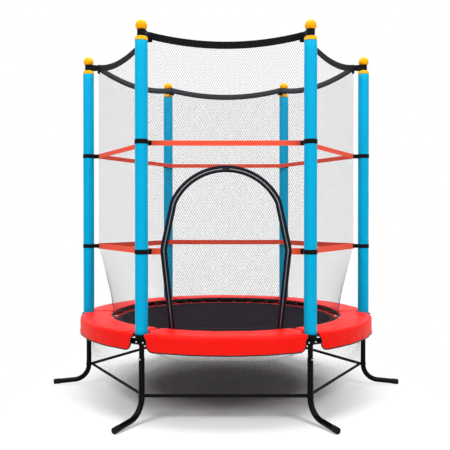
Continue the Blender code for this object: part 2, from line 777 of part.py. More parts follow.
def top_border():
    """Webbing over the net's upper edge, sagging between the poles, looped round
    the necks of the pole caps."""
    offset = webbing_offset()
    corners = net_line(offset, BORDER_LEVEL)
    path = []
    for k, corner in enumerate(corners):
        following = corners[(k + 1) % POLE_COUNT]
        for share in fraction(0, 1, BORDER_STEPS)[:-1]:
            point = corner.lerp(following, share)
            point.z = sag((2 * share - 1) * NET_HALF_WIDTH)
            path.append(point)
    bm = bmesh.new()
    sweep(bm, path, Vector((0, 0, 1)), box_section(WEBBING, BORDER_WIDTH), True)
    start = corners[0].xy.length + LOOP_START
    loops = tie_loops(
        start, NECK_RADIUS, BORDER_TIE_WIDTH, TIE_THICKNESS, BORDER_LEVEL - BORDER_LIFT
    )
    return combined("top_border", mesh_from(bm, "border_belt"), joined=[loops])


def strap(level, width, ends=None):
    """A belt of webbing round the net, tied to the poles. With ends it stops short
    of the door on both sides."""
    offset = webbing_offset()
    path = net_line(offset, level)
    if ends:
        front = path[0].y
        path = [Vector((ends, front, level)), *path, Vector((-ends, front, level))]
    bm = bmesh.new()
    sweep(bm, path, Vector((0, 0, 1)), box_section(WEBBING, width), not ends)
    start = net_line(offset, level)[0].xy.length + LOOP_START
    loops = tie_loops(start, FOAM_RADIUS, TIE_WIDTH, TIE_THICKNESS, level)
    return combined("strap", mesh_from(bm, "strap_belt"), joined=[loops])


# Door


def door_arch(offset):
    """Points of the zip's line, moved out by an offset: three arcs on each side."""
    crown = DOOR_CROWN_ANGLE
    radius = DOOR_CROWN_RADIUS
    half = DOOR_HALF_WIDTH
    shoulder = (half - radius * math.sin(crown)) / (1 - math.sin(crown))
    bend = (
        (radius - shoulder) * math.sin(crown),
        DOOR_CROWN_CENTRE + (radius - shoulder) * math.cos(crown),
    )
    fall = bend[1] - DOOR_BOTTOM
    inward = half - DOOR_FOOT_HALF_WIDTH
    side = (fall**2 + inward**2) / (2 * inward)
    right = []
    for turn in fraction(0, crown, DOOR_CROWN_STEPS // 2):
        reach = radius + offset
        right.append((reach * math.sin(turn), DOOR_CROWN_CENTRE + reach * math.cos(turn)))
    levels = fraction(right[-1][1], LOWER_STRAP_LEVEL, DOOR_SHOULDER_STEPS)[1:]
    levels += fraction(LOWER_STRAP_LEVEL, DOOR_BOTTOM, DOOR_SIDE_STEPS)[1:]
    for level in levels:
        arc, middle = (shoulder, bend[0]) if level > bend[1] else (side, half - side)
        right.append((middle + math.sqrt((arc + offset) ** 2 - (level - bend[1]) ** 2), level))
    return [(-u, v) for u, v in reversed(right)] + right[1:]


def door_outline(offset):
    """The arch closed along its foot, which also moves down by an outward offset."""
    arch = door_arch(offset)
    sill = DOOR_BOTTOM - max(0, offset) * DOOR_SILL_SHARE
    arch = [(arch[0][0], sill), *arch[1:-1], (arch[-1][0], sill)]
    foot = arch[-1][0]
    return list(reversed(arch)) + [(u, sill) for u in fraction(-foot, foot, 6)[1:-1]]


def zip_tape(bm, outward):
    """One half of the zip's tape, with its coil standing along the zip's line."""
    near, far = ZIP_GAP / 2, ZIP_GAP / 2 + TAPE_WIDTH
    front = NET_THICKNESS / 2 + TAPE_CLEARANCE
    rise = front + TAPE_THICKNESS
    back = front if outward > 0 else -TAPE_SINK
    section = [
        (far, back),
        (near, back),
        (near, rise + COIL_HEIGHT),
        (near + COIL_WIDTH, rise + COIL_HEIGHT),
        (near + COIL_WIDTH, rise),
        (far, rise),
    ]
    lines = {across: door_arch(outward * across) for across, _ in section}
    rings = []
    for i in range(len(lines[near])):
        ring = []
        for across, height in section:
            point = net_place(*lines[across][i]) + Vector((0, -height, 0))
            ring.append(bm.verts.new(point))
        rings.append(ring)
    for one, two in zip(rings, rings[1:]):
        for j in range(len(section)):
            bm.faces.new((one[j - 1], one[j], two[j], two[j - 1]))
    bm.faces.new(rings[0])
    bm.faces.new(rings[-1])


def door_tape():
    bm = bmesh.new()
    zip_tape(bm, 1)
    return mesh_from(bm, "door_tape")


def door_flap():
    """The arched net that closes the doorway, with its half of the zip."""
    bm = bmesh.new()
    outline = door_outline(-ZIP_GAP / 2 - ZIP_SET_BACK)
    inner = ZIP_GAP / 2 + TAPE_WIDTH + TAPE_HEM
    field = [(u, max(v, DOOR_BOTTOM + NET_HEM)) for u, v in reversed(door_arch(-inner))]
    fold = [(-DOOR_HALF_WIDTH / 2, LOWER_STRAP_LEVEL), (DOOR_HALF_WIDTH / 2, LOWER_STRAP_LEVEL)]
    fill_sheet(bm, outline, net_place, gaps=net_gaps(), field=field, lines=[fold])
    thicken(bm, NET_THICKNESS)
    tape = bmesh.new()
    zip_tape(tape, -1)
    return combined("door_flap", mesh_from(bm, "flap_net"), joined=[mesh_from(tape, "flap_tape")])


def zip_slider(side):
    """A saddle over both halves of the coil, beside the top of the arch."""
    front = NET_THICKNESS / 2 + TAPE_CLEARANCE + TAPE_THICKNESS
    rail = ZIP_GAP / 2 + COIL_WIDTH + SLIDER_CLEARANCE
    wide = SLIDER_WIDTH / 2
    low, high = front + FIT, front + COIL_HEIGHT + FIT
    top = high + SLIDER_THICKNESS
    section = [
        (-wide, low), (-rail, low), (-rail, high), (rail, high),
        (rail, low), (wide, low), (wide, top), (-wide, top),
    ]
    start = FIT / DOOR_CROWN_RADIUS
    bm = bmesh.new()
    rings = []
    for turn in fraction(start, start + SLIDER_LENGTH / DOOR_CROWN_RADIUS, 2):
        ring = []
        for across, height in section:
            reach = DOOR_CROWN_RADIUS + across
            u, v = side * reach * math.sin(turn), DOOR_CROWN_CENTRE + reach * math.cos(turn)
            ring.append(bm.verts.new((u, -NET_PLANE - height, v)))
        rings.append(ring)
    for one, two in zip(rings, rings[1:]):
        for j in range(len(section)):
            bm.faces.new((one[j - 1], one[j], two[j], two[j - 1]))
    bm.faces.new(rings[0])
    bm.faces.new(rings[-1])
    bmesh.ops.translate(bm, verts=bm.verts, vec=(0, NET_PLANE, -DOOR_CROWN_CENTRE))
    return mesh_from(bm, "zip_slider")


# Lower net


def lower_place(u, share):
    """A point between the belt's straight side and the ring's round inside."""
    corner = POLE_CIRCLE - BELT_STANDOFF
    half = corner * math.sin(SECTOR / 2)
    low = Vector((u * half, -corner * math.cos(SECTOR / 2), BELT_LEVEL))
    high = around(LOWER_NET_RADIUS, FRONT + u * SECTOR / 2, LOWER_NET_TOP)
    return low.lerp(high, share)


def lower_net():
    sector = bmesh.new()
    top = [(u, 1) for u in fraction(1, -1, RING_STEPS)]
    hem = LOWER_NET_HEM
    outline = [(-1, 0), (1, 0), *top]
    field = [(-1 + hem, hem), (1 - hem, hem), (1 - hem, 1 - hem), (-1 + hem, 1 - hem)]
    half = POLE_CIRCLE * math.sin(SECTOR / 2)
    tall = LOWER_NET_TOP - BELT_LEVEL
    gaps = diamonds(-half, half, 0, tall, LOWER_NET_COLUMNS, 1)
    gaps = [[(u / half, v / tall) for u, v in gap] for gap in gaps]
    fill_sheet(sector, outline, lower_place, gaps=gaps, field=field)
    bm = bmesh.new()
    for k in range(POLE_COUNT):
        copied = sector.copy()
        bmesh.ops.transform(copied, matrix=Matrix.Rotation(k * SECTOR, 4, "Z"), verts=copied.verts)
        piece = bpy.data.meshes.new("sector")
        copied.to_mesh(piece)
        copied.free()
        bm.from_mesh(piece)
    sector.free()
    bmesh.ops.remove_doubles(bm, verts=bm.verts, dist=1e-5)
    thicken(bm, NET_THICKNESS)

    up = Vector((0, 0, 1))
    corner = POLE_CIRCLE - BELT_STANDOFF
    path = [around(corner, FRONT + SECTOR / 2 + k * SECTOR, BELT_LEVEL) for k in range(POLE_COUNT)]
    belt = bmesh.new()
    sweep(belt, path, up, box_section(BELT_THICKNESS, BELT_WIDTH), True)
    ties = bmesh.new()
    radius = (LEG_DIAMETER / 2 + FIT + TIE_THICKNESS / 2) / math.cos(math.pi / TIE_STEPS)
    for k in range(POLE_COUNT):
        centre = around(POLE_CIRCLE, FRONT + SECTOR / 2 + k * SECTOR, BELT_LEVEL)
        turns = [math.tau * (i + 0.5) / TIE_STEPS for i in range(TIE_STEPS)]
        round_leg = [centre + around(radius, turn) for turn in turns]
        sweep(ties, round_leg, up, box_section(TIE_THICKNESS, BELT_WIDTH - BELT_LOOP_SHORT), True)
    return combined(
        "lower_net",
        mesh_from(bm, "curtain"),
        joined=[mesh_from(belt, "hem_belt"), mesh_from(ties, "leg_ties")],
    )


def build():
    clear_scene()
    frame = add_joint("frame_origin", (0, 0, 0))
    corners = [FRONT + SECTOR / 2 + k * SECTOR for k in range(POLE_COUNT)]
    panels = [k * SECTOR for k in range(POLE_COUNT)]
    on_poles = {
        "frame_section": (ring_section(), BLACK_STEEL),
        "leg": (leg(), BLACK_STEEL),
        "foot_cap": (foot_cap(), BLACK_PLASTIC),
        "pole": (pole(), BLACK_STEEL),
        "foam_sleeve": (foam_sleeve(), BLUE_FOAM),
        "pole_cap": (pole_cap(), YELLOW_PLASTIC),
    }
    for name, (mesh, finish) in on_poles.items():
        for number, turn in enumerate(corners, 1):
            add_part(f"{name}_{number}", mesh, finish, frame, turn)
    pad = edge_pad()
    panel = net_panel()
    doorway = door_outline(ZIP_GAP / 2 + ZIP_SET_BACK)
    door_edge = door_outline(ZIP_GAP / 2 + TAPE_WIDTH + TAPE_HEM)
    front_panel = net_panel(doorway, door_edge)
    for number, turn in enumerate(panels, 1):
        add_part(f"edge_pad_{number}", pad, RED_VINYL, frame, turn + FRONT)
        shape = panel if turn else front_panel
        add_part(f"net_panel_{number}", shape, BLACK_NET, frame, turn, smooth=False)
    tape_edge = DOOR_HALF_WIDTH + ZIP_GAP / 2 + TAPE_WIDTH + FIT
    add_part("top_border", top_border(), BLACK_WEBBING, frame)
    add_part("upper_strap", strap(UPPER_STRAP_LEVEL, UPPER_STRAP_WIDTH), RED_WEBBING, frame)
    lower = strap(LOWER_STRAP_LEVEL, LOWER_STRAP_WIDTH, tape_edge)
    add_part("lower_strap", lower, RED_WEBBING, frame)
    add_part("lower_net", lower_net(), BLACK_NET, frame, smooth=False)
    add_part("door_tape", door_tape(), BLACK_WEBBING, frame)
    add_part("elastic_bands", elastic_bands(), RED_WEBBING, frame)

    bounce = add_joint("mat_bounce", (0, 0, 0))
    add_part("mat", mat(), BLACK_MAT, bounce)

    zip_front = NET_THICKNESS / 2 + TAPE_CLEARANCE + TAPE_THICKNESS + COIL_HEIGHT
    fold = Vector((0, -NET_BOTTOM_RADIUS - zip_front, DOOR_BOTTOM))
    hinge = add_joint("door_fold", fold)
    flap = door_flap()
    flap.transform(Matrix.Translation(-fold))
    add_part("door_flap", flap, BLACK_NET, hinge)
    for name, side in (("zip_slider_left", -1), ("zip_slider_right", 1)):
        crown = add_joint(f"{name}_run", (0, -NET_PLANE, DOOR_CROWN_CENTRE))
        add_part(name, zip_slider(side), BLACK_PLASTIC, crown)


build()
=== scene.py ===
import math
from math import cos, pi, radians, sin, sqrt, tau

import bmesh
import bpy
from mathutils import Matrix, Vector
from mathutils.noise import noise


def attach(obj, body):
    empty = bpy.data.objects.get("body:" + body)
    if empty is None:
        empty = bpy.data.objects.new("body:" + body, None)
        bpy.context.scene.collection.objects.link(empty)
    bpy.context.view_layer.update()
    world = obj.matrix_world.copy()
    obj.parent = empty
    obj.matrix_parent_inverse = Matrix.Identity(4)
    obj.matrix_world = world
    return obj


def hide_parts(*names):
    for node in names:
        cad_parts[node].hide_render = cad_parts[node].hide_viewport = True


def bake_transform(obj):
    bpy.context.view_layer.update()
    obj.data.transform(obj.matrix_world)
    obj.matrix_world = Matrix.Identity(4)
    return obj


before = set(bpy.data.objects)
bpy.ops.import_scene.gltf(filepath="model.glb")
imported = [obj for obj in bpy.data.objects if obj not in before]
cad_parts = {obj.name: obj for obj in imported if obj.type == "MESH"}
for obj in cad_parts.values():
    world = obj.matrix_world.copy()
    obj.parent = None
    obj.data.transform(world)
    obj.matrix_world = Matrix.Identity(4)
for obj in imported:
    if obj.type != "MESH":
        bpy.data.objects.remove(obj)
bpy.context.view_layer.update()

# What several pieces share: measures in metres, and the steps of a full turn
sizes = {
    "poleCircle": 0.674,  # radius on which the ring, the poles and the legs stand
    "ringLevel": 0.320,
    "netCorner": 0.625,
    "netHalfWidth": 0.3125,
    "netPlane": 0.54127,
    "netFoot": 0.3515,
    "netFootRadius": 0.5436,
    "lowerStrap": 0.680,
    "upperStrap": 1.119,
    "borderLevel": 1.5533,
    "borderSag": 0.040,
    "thread": 0.00035,
    "fineThread": 0.0003,
    "turns": 168,
}
up = Vector((0, 0, 1))
forward = Vector((0, -1, 0))
front = radians(-90)
panelHalf = radians(30)  # half of one panel's share of the circle
poleTurns = [radians(-60 + 60 * k) for k in range(6)]
panelTurns = [radians(60 * k) for k in range(6)]


def around(radius, angle, height=0.0):
    return Vector((radius * cos(angle), radius * sin(angle), height))


def steps(low, high, count):
    return [low + (high - low) * i / count for i in range(count + 1)]


def selectOnly(*pieces):
    if bpy.context.mode != "OBJECT":
        bpy.ops.object.mode_set(mode="OBJECT")
    bpy.ops.object.select_all(action="DESELECT")
    for piece in pieces:
        piece.select_set(True)
        bpy.context.view_layer.objects.active = piece


def placeIntoMesh(piece):
    selectOnly(piece)
    bpy.ops.object.transform_apply(location=True, rotation=True, scale=True)
    return piece


# Names a new primitive, and puts its place into its mesh
def settle(name):
    piece = bpy.context.object
    piece.name = name
    piece.data.name = name
    return placeIntoMesh(piece)


def openEdit(piece, kind="VERT", everything=True):
    selectOnly(piece)
    bpy.ops.object.mode_set(mode="EDIT")
    bpy.ops.mesh.select_mode(type=kind)
    bpy.ops.mesh.select_all(action="SELECT" if everything else "DESELECT")


def closeEdit():
    bpy.ops.object.mode_set(mode="OBJECT")


# Selects the faces whose centre and normal pass the test, and leaves edit mode open
def pickFaces(piece, test):
    openEdit(piece, "FACE", everything=False)
    closeEdit()
    for face in piece.data.polygons:
        face.select = bool(test(face.center, face.normal))
    bpy.ops.object.mode_set(mode="EDIT")


def smooth(piece, angle):
    selectOnly(piece)
    bpy.ops.object.shade_smooth_by_angle(angle=radians(angle))


def smoothAll(piece):
    for face in piece.data.polygons:
        face.use_smooth = True


def outwards(piece):
    bm = bmesh.new()
    bm.from_mesh(piece.data)
    bmesh.ops.recalc_face_normals(bm, faces=bm.faces)
    bm.to_mesh(piece.data)
    bm.free()


def withModifier(piece, kind, **settings):
    selectOnly(piece)
    added = piece.modifiers.new(kind.lower(), kind)
    for key, value in settings.items():
        setattr(added, key, value)
    bpy.ops.object.modifier_apply(modifier=added.name)


# Gives a sheet its thickness, half to each side
def thicken(sheet, thickness, angle=40):
    withModifier(sheet, "SOLIDIFY", thickness=thickness, offset=0)
    outwards(sheet)
    smooth(sheet, angle)


def joined(first, *others):
    selectOnly(*others, first)
    bpy.ops.object.join()
    return first


# A mesh straight from points and faces, for sheets, webbing and net. Along holds the
# points' places along and across the piece, for its UV map
def drawn(name, points, faces, along=None):
    mesh = bpy.data.meshes.new(name)
    mesh.from_pydata([tuple(point) for point in points], [], faces)
    if along:
        layer = mesh.uv_layers.new(name="along")
        for loop in mesh.loops:
            layer.data[loop.index].uv = along[loop.vertex_index]
    piece = bpy.data.objects.new(name, mesh)
    bpy.context.collection.objects.link(piece)
    return piece


def numbered(name):
    return [f"{name}_{number}" for number in range(1, 7)]


# The same piece at several turns about the middle, each with its own mesh
def repeated(piece, turns, names):
    copies = []
    for turn, name in zip(turns, names):
        mesh = piece.data.copy()
        mesh.name = name
        mesh.transform(Matrix.Rotation(turn, 4, "Z"))
        copied = bpy.data.objects.new(name, mesh)
        bpy.context.collection.objects.link(copied)
        copies.append(copied)
    bpy.data.objects.remove(piece, do_unlink=True)
    return copies


# A finish by its name in finishes, the body the piece moves with, and the nodes it replaces
def dress(piece, finish, body="frame", nodes=()):
    piece.data.materials.clear()
    piece.data.materials.append(finishes[finish])
    if body:
        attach(piece, body)
    if nodes:
        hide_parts(*nodes)


# Six copies about the middle, dressed alike. Each replaces the node of its own number
def dressSix(piece, name, finish, node=None, turns=poleTurns):
    copies = repeated(piece, turns, numbered(name))
    for number, copied in enumerate(copies, 1):
        dress(copied, finish, nodes=[f"{node}_{number}"] if node else ())
    return copies


# A second material on the faces whose normal and centre pass the test
def lined(piece, finish, test):
    piece.data.materials.append(finishes[finish])
    for face in piece.data.polygons:
        if test(face.normal, face.center):
            face.material_index = 1


# Linear colour of an sRGB hex value
def linear(code):
    values = []
    for i in (1, 3, 5):
        part = int(code[i:i + 2], 16) / 255
        values.append(part / 12.92 if part <= 0.04045 else ((part + 0.055) / 1.055) ** 2.4)
    return (*values, 1.0)


# Adds a node to a material or a world, with its settings and links. It gives back the
# output that is asked for, or else the whole node
def addNode(owner, kind, out=None, settings=None, links=None):
    tree = owner.node_tree
    added = tree.nodes.new("ShaderNode" + kind)
    for key, value in (settings or {}).items():
        if isinstance(key, int) or key in added.inputs:
            added.inputs[key].default_value = value
        else:
            setattr(added, key, value)
    for key, source in (links or {}).items():
        tree.links.new(source, added.inputs[key])
    return added if out is None else added.outputs[out]


# A new material with its base values, and the coordinates that its patterns read
def startMaterial(name, settings):
    made = bpy.data.materials.new(name)
    made.use_nodes = True
    for key, value in settings.items():
        made.node_tree.nodes["Principled BSDF"].inputs[key].default_value = value
    return made, addNode(made, "TexCoord", "Object")


# Joins a material's patterns to its shader. Tones are two colours, with the share of the
# second or the size in metres of the blotches between them. Rough is two roughnesses, with
# the size of the patches. Each bump is a height, a strength and a depth in metres
def finishMaterial(made, spot, tones, rough, bumps):
    toneA, toneB, share = tones
    if isinstance(share, float):
        share = addNode(made, "TexNoise", "Fac", {"Scale": 1 / share, "Detail": 3.0}, {"Vector": spot})
    colours = {"data_type": "RGBA", 6: linear(toneA), 7: linear(toneB)}
    low, high, patch = rough
    cloud = addNode(made, "TexNoise", "Fac", {"Scale": 1 / patch, "Detail": 4.0}, {"Vector": spot})
    ends = {
        "Base Color": addNode(made, "Mix", 2, colours, {0: share}),
        "Roughness": addNode(made, "MapRange", "Result", {"To Min": low, "To Max": high}, {"Value": cloud}),
    }
    for height, strength, distance in bumps:
        links = {"Height": height}
        if "Normal" in ends:
            links["Normal"] = ends["Normal"]
        ends["Normal"] = addNode(made, "Bump", "Normal", {"Strength": strength, "Distance": distance}, links)
    shader = made.node_tree.nodes["Principled BSDF"]
    for key, source in ends.items():
        made.node_tree.links.new(source, shader.inputs[key])
    return made


# Powder-coated steel: black paint, baked on, with a low gloss and a fine orange peel
def makePowderCoat():
    made, spot = startMaterial("powderCoatedSteel", {"IOR": 1.5, "Specular IOR Level": 0.06})
    # peel of about 2 mm
    peel = addNode(made, "TexNoise", "Fac", {"Scale": 500.0, "Detail": 1.5}, {"Vector": spot})
    return finishMaterial(
        made, spot, ("#040405", "#0a0a0c", 0.05), (0.20, 0.34, 0.03), [(peel, 0.12, 0.0004)]
    )


# Moulded polypropylene: waxy, with a faint spark-eroded grain from the tool
def makePolypropylene(name, toneA, toneB, low, high, shine=0.2):
    made, spot = startMaterial(name, {"IOR": 1.49, "Specular IOR Level": shine})
    # flow marks of about 12 mm, and a grain of 0.8 mm
    flow = addNode(made, "TexNoise", "Fac", {"Scale": 80.0, "Detail": 1.0}, {"Vector": spot})
    grain = addNode(made, "TexNoise", "Fac", {"Scale": 1250.0, "Detail": 2.0}, {"Vector": spot})
    bumps = [(flow, 0.10, 0.0006), (grain, 0.16, 0.00025)]
    return finishMaterial(made, spot, (toneA, toneB, 0.02), (low, high, 0.012), bumps)


# Closed-cell polyethylene foam in a shrunk blue film: satin, dimpled by the cells under it
def makeFoamFilm():
    made, spot = startMaterial("polyethyleneFoamSleeve", {"IOR": 1.45, "Specular IOR Level": 0.10})
    # creases drawn out along the sleeve, and cells of about 2.5 mm under the film
    stretch = addNode(made, "Mapping", "Vector", {"Scale": (90.0, 90.0, 9.0)}, {"Vector": spot})
    crease = addNode(made, "TexNoise", "Fac", {"Scale": 1.0, "Detail": 3.0}, {"Vector": stretch})
    cells = addNode(
        made, "TexVoronoi", "Distance", {"Scale": 400.0, "feature": "SMOOTH_F1"}, {"Vector": spot}
    )
    bumps = [(crease, 0.22, 0.0012), (cells, 0.10, 0.0004)]
    return finishMaterial(made, spot, ("#00a6d6", "#00b2de", 0.07), (0.42, 0.56, 0.05), bumps)


# Vinyl-coated polyester: bright red, soft gloss, the base cloth's weave just showing through
def makeVinyl():
    made, spot = startMaterial("redVinylCoatedPolyester", {"IOR": 1.52, "Specular IOR Level": 0.07})
    pucker = addNode(
        made, "TexNoise", "Fac", {"Scale": 38.0, "Detail": 3.0, "Distortion": 0.4}, {"Vector": spot}
    )
    # threads at 1 mm, drawn at 2.4 mm so that they show
    ribs = {}
    for k, turn in enumerate((0.0, pi / 2)):
        lay = addNode(made, "Mapping", "Vector", {"Rotation": (0.0, 0.35, turn + 0.2)}, {"Vector": spot})
        ribs[k] = addNode(made, "TexWave", "Fac", {"Scale": 131.0, "Distortion": 0.6}, {"Vector": lay})
    weave = addNode(made, "Math", 0, {"operation": "ADD"}, ribs)
    bumps = [(pucker, 0.30, 0.003), (weave, 0.10, 0.0004)]
    return finishMaterial(made, spot, ("#f5140c", "#fc1e14", 0.06), (0.34, 0.50, 0.04), bumps)


# The cover's underside: black woven polyethylene, calendered, dull
def makeBacking():
    made, spot = startMaterial("blackPolyethyleneBacking", {"IOR": 1.5, "Specular IOR Level": 0.15})
    # tapes at 2.5 mm
    tapes = addNode(made, "TexChecker", "Fac", {"Scale": 400.0}, {"Vector": spot})
    return finishMaterial(
        made, spot, ("#18181b", "#0d0d0f", tapes), (0.55, 0.70, 0.02), [(tapes, 0.15, 0.0002)]
    )


# Blender's wave bands repeat every 0.314 over their scale
bandRepeat = 0.314


# Woven polypropylene webbing: ribs across the length, matt, with a slight sheen on the yarn
def makeWebbing(name, toneA, toneB, ribSpacing, sheen, shine):
    made, spot = startMaterial(name, {
        "IOR": 1.49, "Specular IOR Level": shine, "Sheen Weight": sheen, "Sheen Roughness": 0.4,
    })
    along = addNode(made, "TexCoord", "UV")
    ribs = addNode(
        made, "TexWave", "Fac", {"Scale": bandRepeat / ribSpacing, "Distortion": 0.5, "Detail": 1.0},
        {"Vector": along},
    )
    ends = addNode(
        made, "TexWave", "Fac",
        {"Scale": bandRepeat / (ribSpacing * 0.8), "bands_direction": "Y", "Distortion": 0.4},
        {"Vector": along},
    )
    both = addNode(made, "Math", 0, {"operation": "MULTIPLY"}, {0: ribs, 1: ends})
    fuzz = addNode(made, "TexNoise", "Fac", {"Scale": 260.0, "Detail": 4.0}, {"Vector": spot})
    share = addNode(made, "Math", 0, {"operation": "MULTIPLY"}, {0: both, 1: fuzz})
    return finishMaterial(made, spot, (toneA, toneB, share), (0.68, 0.86, 0.01), [(both, 0.35, 0.0006)])


# Polyester yarn, for net and thread: matt and twisted
def makeYarn(name, toneA, toneB):
    made, spot = startMaterial(name, {
        "IOR": 1.5, "Specular IOR Level": 0.15, "Sheen Weight": 0.05, "Sheen Roughness": 0.5,
    })
    # twist of the yarn, about 1.5 mm
    twist = addNode(
        made, "TexWave", "Fac", {"Scale": 209.0, "bands_direction": "DIAGONAL"}, {"Vector": spot}
    )
    return finishMaterial(made, spot, (toneA, toneB, 0.006), (0.60, 0.82, 0.004), [(twist, 0.25, 0.0002)])


# Woven polypropylene mat: flat black tapes over and under each other, with a low satin shine
def makeMatCloth():
    made, spot = startMaterial("wovenPolypropyleneMat", {"IOR": 1.49, "Specular IOR Level": 0.01})
    # tapes at 1.5 mm, drawn at 6 mm so that the weave shows from the camera
    waves = {}
    for k, direction in enumerate("XY"):
        settings = {"Scale": bandRepeat / 0.006, "bands_direction": direction, "Distortion": 0.3}
        waves[k] = addNode(made, "TexWave", "Fac", settings, {"Vector": spot})
    weave = addNode(made, "Math", 0, {"operation": "MULTIPLY"}, waves)
    cloud = addNode(made, "TexNoise", "Fac", {"Scale": 22.0, "Detail": 4.0}, {"Vector": spot})
    share = addNode(made, "Math", 0, {"operation": "MULTIPLY"}, {0: weave, 1: cloud})
    bumps = [(cloud, 0.10, 0.004), (weave, 0.30, 0.0005)]
    return finishMaterial(made, spot, ("#0d0a0f", "#443e48", share), (0.66, 0.82, 0.03), bumps)


# Woven zip tape: slate polyester, twilled, slightly shiny
def makeZipTape():
    made, spot = startMaterial("polyesterZipTape", {
        "IOR": 1.5, "Specular IOR Level": 0.08, "Sheen Weight": 0.04, "Sheen Roughness": 0.35,
    })
    # twill lines at 0.8 mm, drawn at 3 mm
    twill = addNode(
        made, "TexWave", "Fac",
        {"Scale": bandRepeat / 0.003, "bands_direction": "DIAGONAL", "Distortion": 0.4},
        {"Vector": addNode(made, "TexCoord", "UV")},
    )
    return finishMaterial(
        made, spot, ("#0a0b0f", "#1a1f28", twill), (0.42, 0.58, 0.01), [(twill, 0.25, 0.0003)]
    )


# Zinc-plated steel: bright, slightly blue, fine grind marks
def makeZinc():
    made, spot = startMaterial("zincPlatedSteel", {"Metallic": 1.0})
    marks = addNode(made, "TexNoise", "Fac", {"Scale": 2500.0, "Detail": 2.0}, {"Vector": spot})
    return finishMaterial(
        made, spot, ("#b9bec4", "#d9dde0", 0.003), (0.18, 0.36, 0.002), [(marks, 0.15, 0.0001)]
    )


finishes = {
    "steel": makePowderCoat(),
    "blackPlastic": makePolypropylene("blackPolypropylene", "#08080a", "#121214", 0.42, 0.58, 0.10),
    "yellowPlastic": makePolypropylene("yellowPolypropylene", "#fba800", "#ffb900", 0.30, 0.42, 0.12),
    "foam": makeFoamFilm(),
    "vinyl": makeVinyl(),
    "backing": makeBacking(),
    "redWebbing": makeWebbing("redPolypropyleneWebbing", "#f4492e", "#ff8f6e", 0.0036, 0.10, 0.15),
    "redElastic": makeWebbing("redElasticWebbing", "#b80f10", "#e62a22", 0.0030, 0.05, 0.15),
    "blackWebbing": makeWebbing("blackPolypropyleneWebbing", "#08080b", "#1c1b20", 0.0036, 0.03, 0.10),
    "netYarn": makeYarn("blackPolyesterNet", "#202226", "#34373c"),
    "lowerYarn": makeYarn("greyPolyesterNet", "#40464c", "#565d64"),
    "matCloth": makeMatCloth(),
    "zipTape": makeZipTape(),
    "zipCoil": makePolypropylene("nylonZipCoil", "#77757b", "#92909a", 0.34, 0.48),
    "sliderPaint": makePolypropylene("enamelledZincSlider", "#131316", "#1e1e22", 0.25, 0.38),
    "zinc": makeZinc(),
    "piping": makePolypropylene("blackVinylPiping", "#0d0d0f", "#19191c", 0.36, 0.50),
    "redThread": makeYarn("redPolyesterThread", "#c4140f", "#e0241a"),
    "blackThread": makeYarn("blackPolyesterThread", "#0c0c0e", "#1a1a1d"),
}
print("finishes ready:", len(finishes))


# A round steel tube, drawn by extruding and spinning a circle and then given its wall.
# Moves are ("run", vector) or ("bend", centre, axis, angle, steps)
def tubeByHand(name, radius, wall, start, facing, moves, sides=32):
    selectOnly()
    turn = facing.to_track_quat("Z", "Y").to_euler()
    bpy.ops.mesh.primitive_circle_add(vertices=sides, radius=radius, location=start, rotation=turn)
    piece = settle(name)
    openEdit(piece)
    for move in moves:
        if move[0] == "run":
            bpy.ops.mesh.extrude_region_move(TRANSFORM_OT_translate={"value": move[1]})
        else:
            # with no window, spin turns the other way
            bpy.ops.mesh.spin(steps=move[4], angle=-move[3], center=move[1], axis=move[2])
    closeEdit()
    openEdit(piece)
    bpy.ops.mesh.remove_doubles(threshold=1e-6)
    bpy.ops.mesh.normals_make_consistent(inside=False)
    closeEdit()
    withModifier(piece, "SOLIDIFY", thickness=wall, offset=-1)
    return piece


ringShape = {
    "radius": 0.0125, "wall": 0.0012, "gap": 0.0109,
    "stubRadius": 0.0106, "stubWall": 0.001, "stubLow": 0.216, "stubHigh": 0.3878,
    "bead": 0.0016, "beadOut": 0.0002, "beadDrop": 0.0112,
}


def makeRing():
    circle, level = sizes["poleCircle"], sizes["ringLevel"]
    # each tube stops short of the next one's stub
    tube = tubeByHand(
        "ringTube", ringShape["radius"], ringShape["wall"], around(circle, 0.0, level), Vector((0, 1, 0)),
        [("bend", (0, 0, 0), (0, 0, 1), radians(60) - ringShape["gap"] / circle, 30)],
    )
    stub = tubeByHand(
        "stub", ringShape["stubRadius"], ringShape["stubWall"], around(circle, 0, ringShape["stubLow"]), up,
        [("run", (0, 0, ringShape["stubHigh"] - ringShape["stubLow"]))], 24,
    )
    # weld bead where the stub leaves the ring
    bpy.ops.mesh.primitive_torus_add(
        major_segments=36, minor_segments=8, major_radius=ringShape["stubRadius"] + ringShape["beadOut"],
        minor_radius=ringShape["bead"], location=around(circle, 0, level - ringShape["beadDrop"]),
    )
    whole = joined(tube, stub, settle("bead"))
    smooth(whole, 40)
    dressSix(whole, "ringSection", "steel", "frame_section")


legShape = {
    "radius": 0.0119, "wall": 0.001, "top": 0.256, "bend": 0.078, "run": 0.0996, "reach": 0.1024,
    "tipLevel": 0.01213, "slope": radians(5.8),
}


# The middle of the leg's bend, and the way its slanting run goes
def legBend():
    bend, slope = legShape["bend"], legShape["slope"]
    rise = legShape["tipLevel"] + legShape["reach"] * sin(slope) + bend * cos(slope)
    return Vector((sizes["poleCircle"] + bend, 0, rise)), Vector((cos(slope), 0, -sin(slope)))


def makeLegs():
    centre, along = legBend()
    leg = tubeByHand(
        "leg", legShape["radius"], legShape["wall"], around(sizes["poleCircle"], 0, legShape["top"]), -up,
        [
            ("run", (0, 0, centre.z - legShape["top"])),
            ("bend", centre, (0, 1, 0), -(pi / 2 - legShape["slope"]), 16),
            ("run", along * legShape["run"]),
        ],
    )
    smooth(leg, 40)
    dressSix(leg, "legTube", "steel", "leg")


footShape = {"radius": 0.0130, "length": 0.030, "rounding": 0.0028, "sole": 0.0001}


